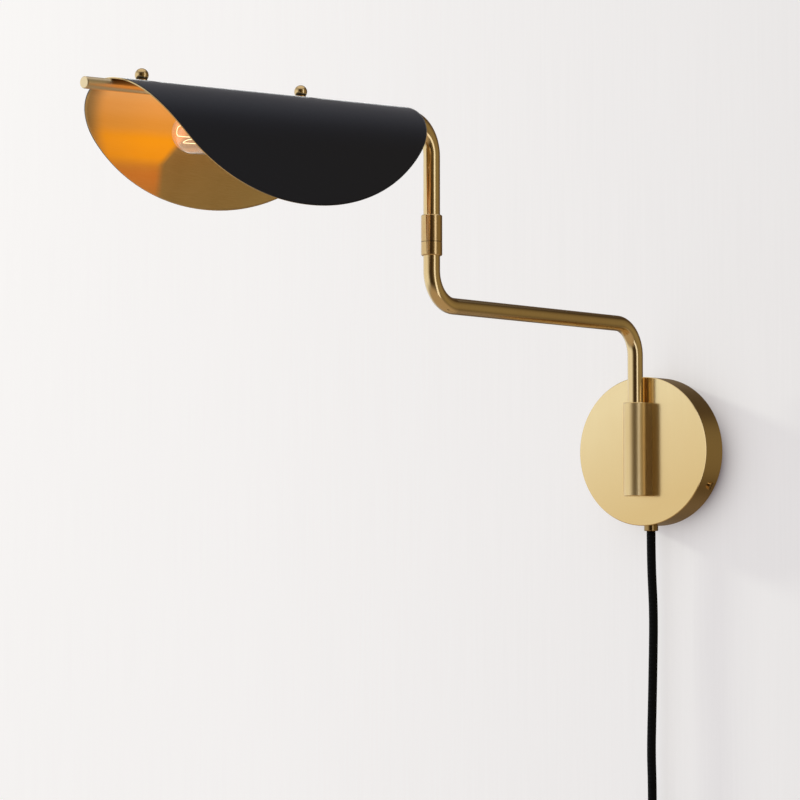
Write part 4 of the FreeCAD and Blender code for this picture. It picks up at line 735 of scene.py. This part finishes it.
wire_radius = 0.25 * MM
wire_sides = 8
hairpin_circle_mm = 7.0
hairpin_start_mm = 173.0
hairpin_end_mm = 265.5
hairpin_bend_mm = 6.0
hairpin_legs = 6
first_leg = 0.25
lamp_drop_mm = 27.0
stem_foot_mm = 165.0
hairpin_points = []
for leg in range(hairpin_legs):
    angle = FULL_TURN * (leg + first_leg) / hairpin_legs
    across_mm = hairpin_circle_mm * math.cos(angle)
    up_mm = hairpin_circle_mm * math.sin(angle) - lamp_drop_mm
    start_mm = stem_foot_mm if leg in (0, hairpin_legs - 1) else hairpin_start_mm
    stations = [start_mm, start_mm + hairpin_bend_mm, hairpin_end_mm - hairpin_bend_mm, hairpin_end_mm]
    if leg % 2:
        stations.reverse()
    hairpin_points += [rod_frame @ (Vector((across_mm, -station, up_mm)) * MM) / MM for station in stations]
wire_line = smooth_line("hairpin_line", hairpin_points)
hairpins = round_tube("hairpin_filament", wire_line, wire_radius, wire_sides, glowing_wire)
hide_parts("filament")
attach(hairpins, "shade_arm")


# The bulb's screw cap is rolled from aluminium and crimped on, and has a slight haze. The contact at its
# foot is of the same metal.
haze_per_metre = 300.0
cap_metal, tree = empty_material("rolled_aluminium")
place = add(tree, "ShaderNodeTexCoord")
haze = add(tree, "ShaderNodeTexNoise", {"Vector": place.outputs["Object"], "Scale": haze_per_metre,
                                        "Detail": 3.0})
dull = add(tree, "ShaderNodeMapRange", {"Value": haze.outputs["Fac"], "To Min": 0.25, "To Max": 0.4})
metal = add(tree, "ShaderNodeBsdfPrincipled", {"Base Color": linear("#C9C8C2"), "Metallic": 1.0,
                                               "Roughness": dull.outputs["Result"]})
add(tree, "ShaderNodeOutputMaterial", {"Surface": metal.outputs[0]})
dress("bulb_cap", cap_metal)
dress("bulb_contact", cap_metal)


# The cord is two insulated wires in a black rayon braid, 7.2 mm across. It hangs from the gland with a
# slight set from its packing, and runs down into an in-line switch.
cord_diameter = 7.2 * MM
drop_route_mm = (
    (0.0, -12.0, -64.5),
    (0.0, -12.0, -92.0),
    (1.5, -10.9, -130.0),
    (0.8, -11.3, -175.0),
    (0.0, -11.9, -215.0),
    (-0.7, -12.2, -243.0),
    (0.0, -12.0, -268.0),
    (0.0, -12.0, -288.0),
)
braid_carriers = 16
braid_pitch_mm = 3.4
braid_relief_mm = 0.25
cord_sides = 32

braid, tree = empty_material("black_rayon_braid")
unrolled = add(tree, "ShaderNodeUVMap", uv_map="unrolled")
strand = add(tree, "ShaderNodeSeparateXYZ", {0: unrolled.outputs[0]})
around = add(tree, "ShaderNodeMath", {0: strand.outputs["X"], 1: braid_carriers}, operation="MULTIPLY")
along = add(tree, "ShaderNodeMath", {0: strand.outputs["Y"], 1: 1 / (braid_pitch_mm * MM)},
            operation="MULTIPLY")
right_hand = add(tree, "ShaderNodeMath", {0: around.outputs[0], 1: along.outputs[0]}, operation="ADD")
left_hand = add(tree, "ShaderNodeMath", {0: around.outputs[0], 1: along.outputs[0]}, operation="SUBTRACT")
bulges = []
strands = []
for hand in (right_hand, left_hand):
    within = add(tree, "ShaderNodeMath", {0: hand.outputs[0], 1: 1.0, 2: 0.0}, operation="WRAP")
    bulge = add(tree, "ShaderNodeMath", {0: within.outputs[0], 1: math.pi}, operation="MULTIPLY")
    bulges.append(add(tree, "ShaderNodeMath", {0: bulge.outputs[0]}, operation="SINE"))
    strands.append(add(tree, "ShaderNodeMath", {0: hand.outputs[0]}, operation="FLOOR"))
both = add(tree, "ShaderNodeMath", {0: strands[0].outputs[0], 1: strands[1].outputs[0]}, operation="ADD")
over = add(tree, "ShaderNodeMath", {0: both.outputs[0], 1: 2.0}, operation="FLOORED_MODULO")
height = add(tree, "ShaderNodeMix", {0: over.outputs[0], 2: bulges[0].outputs[0], 3: bulges[1].outputs[0]},
             data_type="FLOAT")
relief = add(tree, "ShaderNodeBump", {"Height": height.outputs[0], "Strength": 0.8,
                                      "Distance": braid_relief_mm * MM})
shadowed = add(tree, "ShaderNodeMix", {0: height.outputs[0], 6: linear("#010101"), 7: linear("#060607")},
               data_type="RGBA")
yarn = add(tree, "ShaderNodeBsdfPrincipled", {"Base Color": shadowed.outputs[2], "Roughness": 0.70,
                                              "Specular IOR Level": 0.14, "Normal": relief.outputs["Normal"]})
add(tree, "ShaderNodeOutputMaterial", {"Surface": yarn.outputs[0]})

drop_line = smooth_line("drop_line", drop_route_mm)
cord_drop = round_tube("braided_cord", drop_line, cord_diameter / 2, cord_sides, braid)
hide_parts("cord_drop")
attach(cord_drop, "wall_base")


# The spare cord below the switch is wound into a flat round coil of two layers, and tied. It winds inward
# close to the wall, climbs to the second layer, winds outward again, and its tail hangs down to the plug.
coil_radius_mm = 48.0
coil_pitch_mm = 7.9
layer_step_mm = 7.9
climb_dip_mm = 1.6
turns_in = 2.25
turns_up = 0.5
turns_out = 2.5
points_per_turn = 24
switch_foot_mm = -374.0
entry_straight_mm = 5.0
entry_bend_mm = 28.0
cord_from_wall_mm = 12.0
tail_drop_mm = 12.0
tail_straight_mm = 2.0
end_shift_mm = 0.18
coil_middle_mm = Vector((entry_bend_mm, -cord_from_wall_mm,
                         switch_foot_mm - entry_straight_mm - entry_bend_mm - coil_radius_mm))


def coil_place(turned):
    """Where the cord lies after so many turns: inward, half a turn up one layer, and outward again."""
    inner = coil_radius_mm - coil_pitch_mm * turns_in
    if turned <= turns_in:
        radius = coil_radius_mm - coil_pitch_mm * turned
        layer = 0.0
    elif turned <= turns_in + turns_up:
        climbed = (turned - turns_in) / turns_up
        radius = inner - climb_dip_mm * (1 - math.cos(FULL_TURN * climbed)) / 2
        layer = (1 - math.cos(math.pi * climbed)) / 2
    else:
        radius = inner + coil_pitch_mm * (turned - turns_in - turns_up)
        layer = 1.0
    angle = math.pi / 2 - FULL_TURN * turned
    return coil_middle_mm + Vector((radius * math.cos(angle), -layer_step_mm * layer,
                                    radius * math.sin(angle)))


foot = Vector((0.0, -cord_from_wall_mm, switch_foot_mm))
coil_points = [foot, foot - Vector((0, 0, entry_straight_mm))]
entry_steps = 5
for step in range(1, entry_steps):
    angle = math.pi / 2 * step / entry_steps
    coil_points.append(foot + Vector((entry_bend_mm * (1 - math.cos(angle)), 0,
                                      -entry_straight_mm - entry_bend_mm * math.sin(angle))))
total_turns = turns_in + turns_up + turns_out
for step in range(round(total_turns * points_per_turn) + 1):
    coil_points.append(coil_place(step / points_per_turn))
tail = coil_points[-1] + Vector((end_shift_mm, 0, -tail_drop_mm))
coil_points.append((coil_points[-1] + tail) / 2)
coil_points.append(tail)
coil_points.append(tail - Vector((0, 0, tail_straight_mm)))
coil_line = smooth_line("coil_line", coil_points)
cord_coil = round_tube("coiled_cord", coil_line, cord_diameter / 2, cord_sides, braid)
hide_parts("cord_coil")
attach(cord_coil, "wall_base")


# The strap that ties the coil is woven nylon, black and dull. The cord's inner end, which lies in the
# canopy, is as black.
dress("cord_tie", moulded("woven_strap", "#151517", 0.8, 0.6, 0.1))
dress("inner_cord", moulded("inner_braid", "#121214", 0.7, 0.6, 0.1))
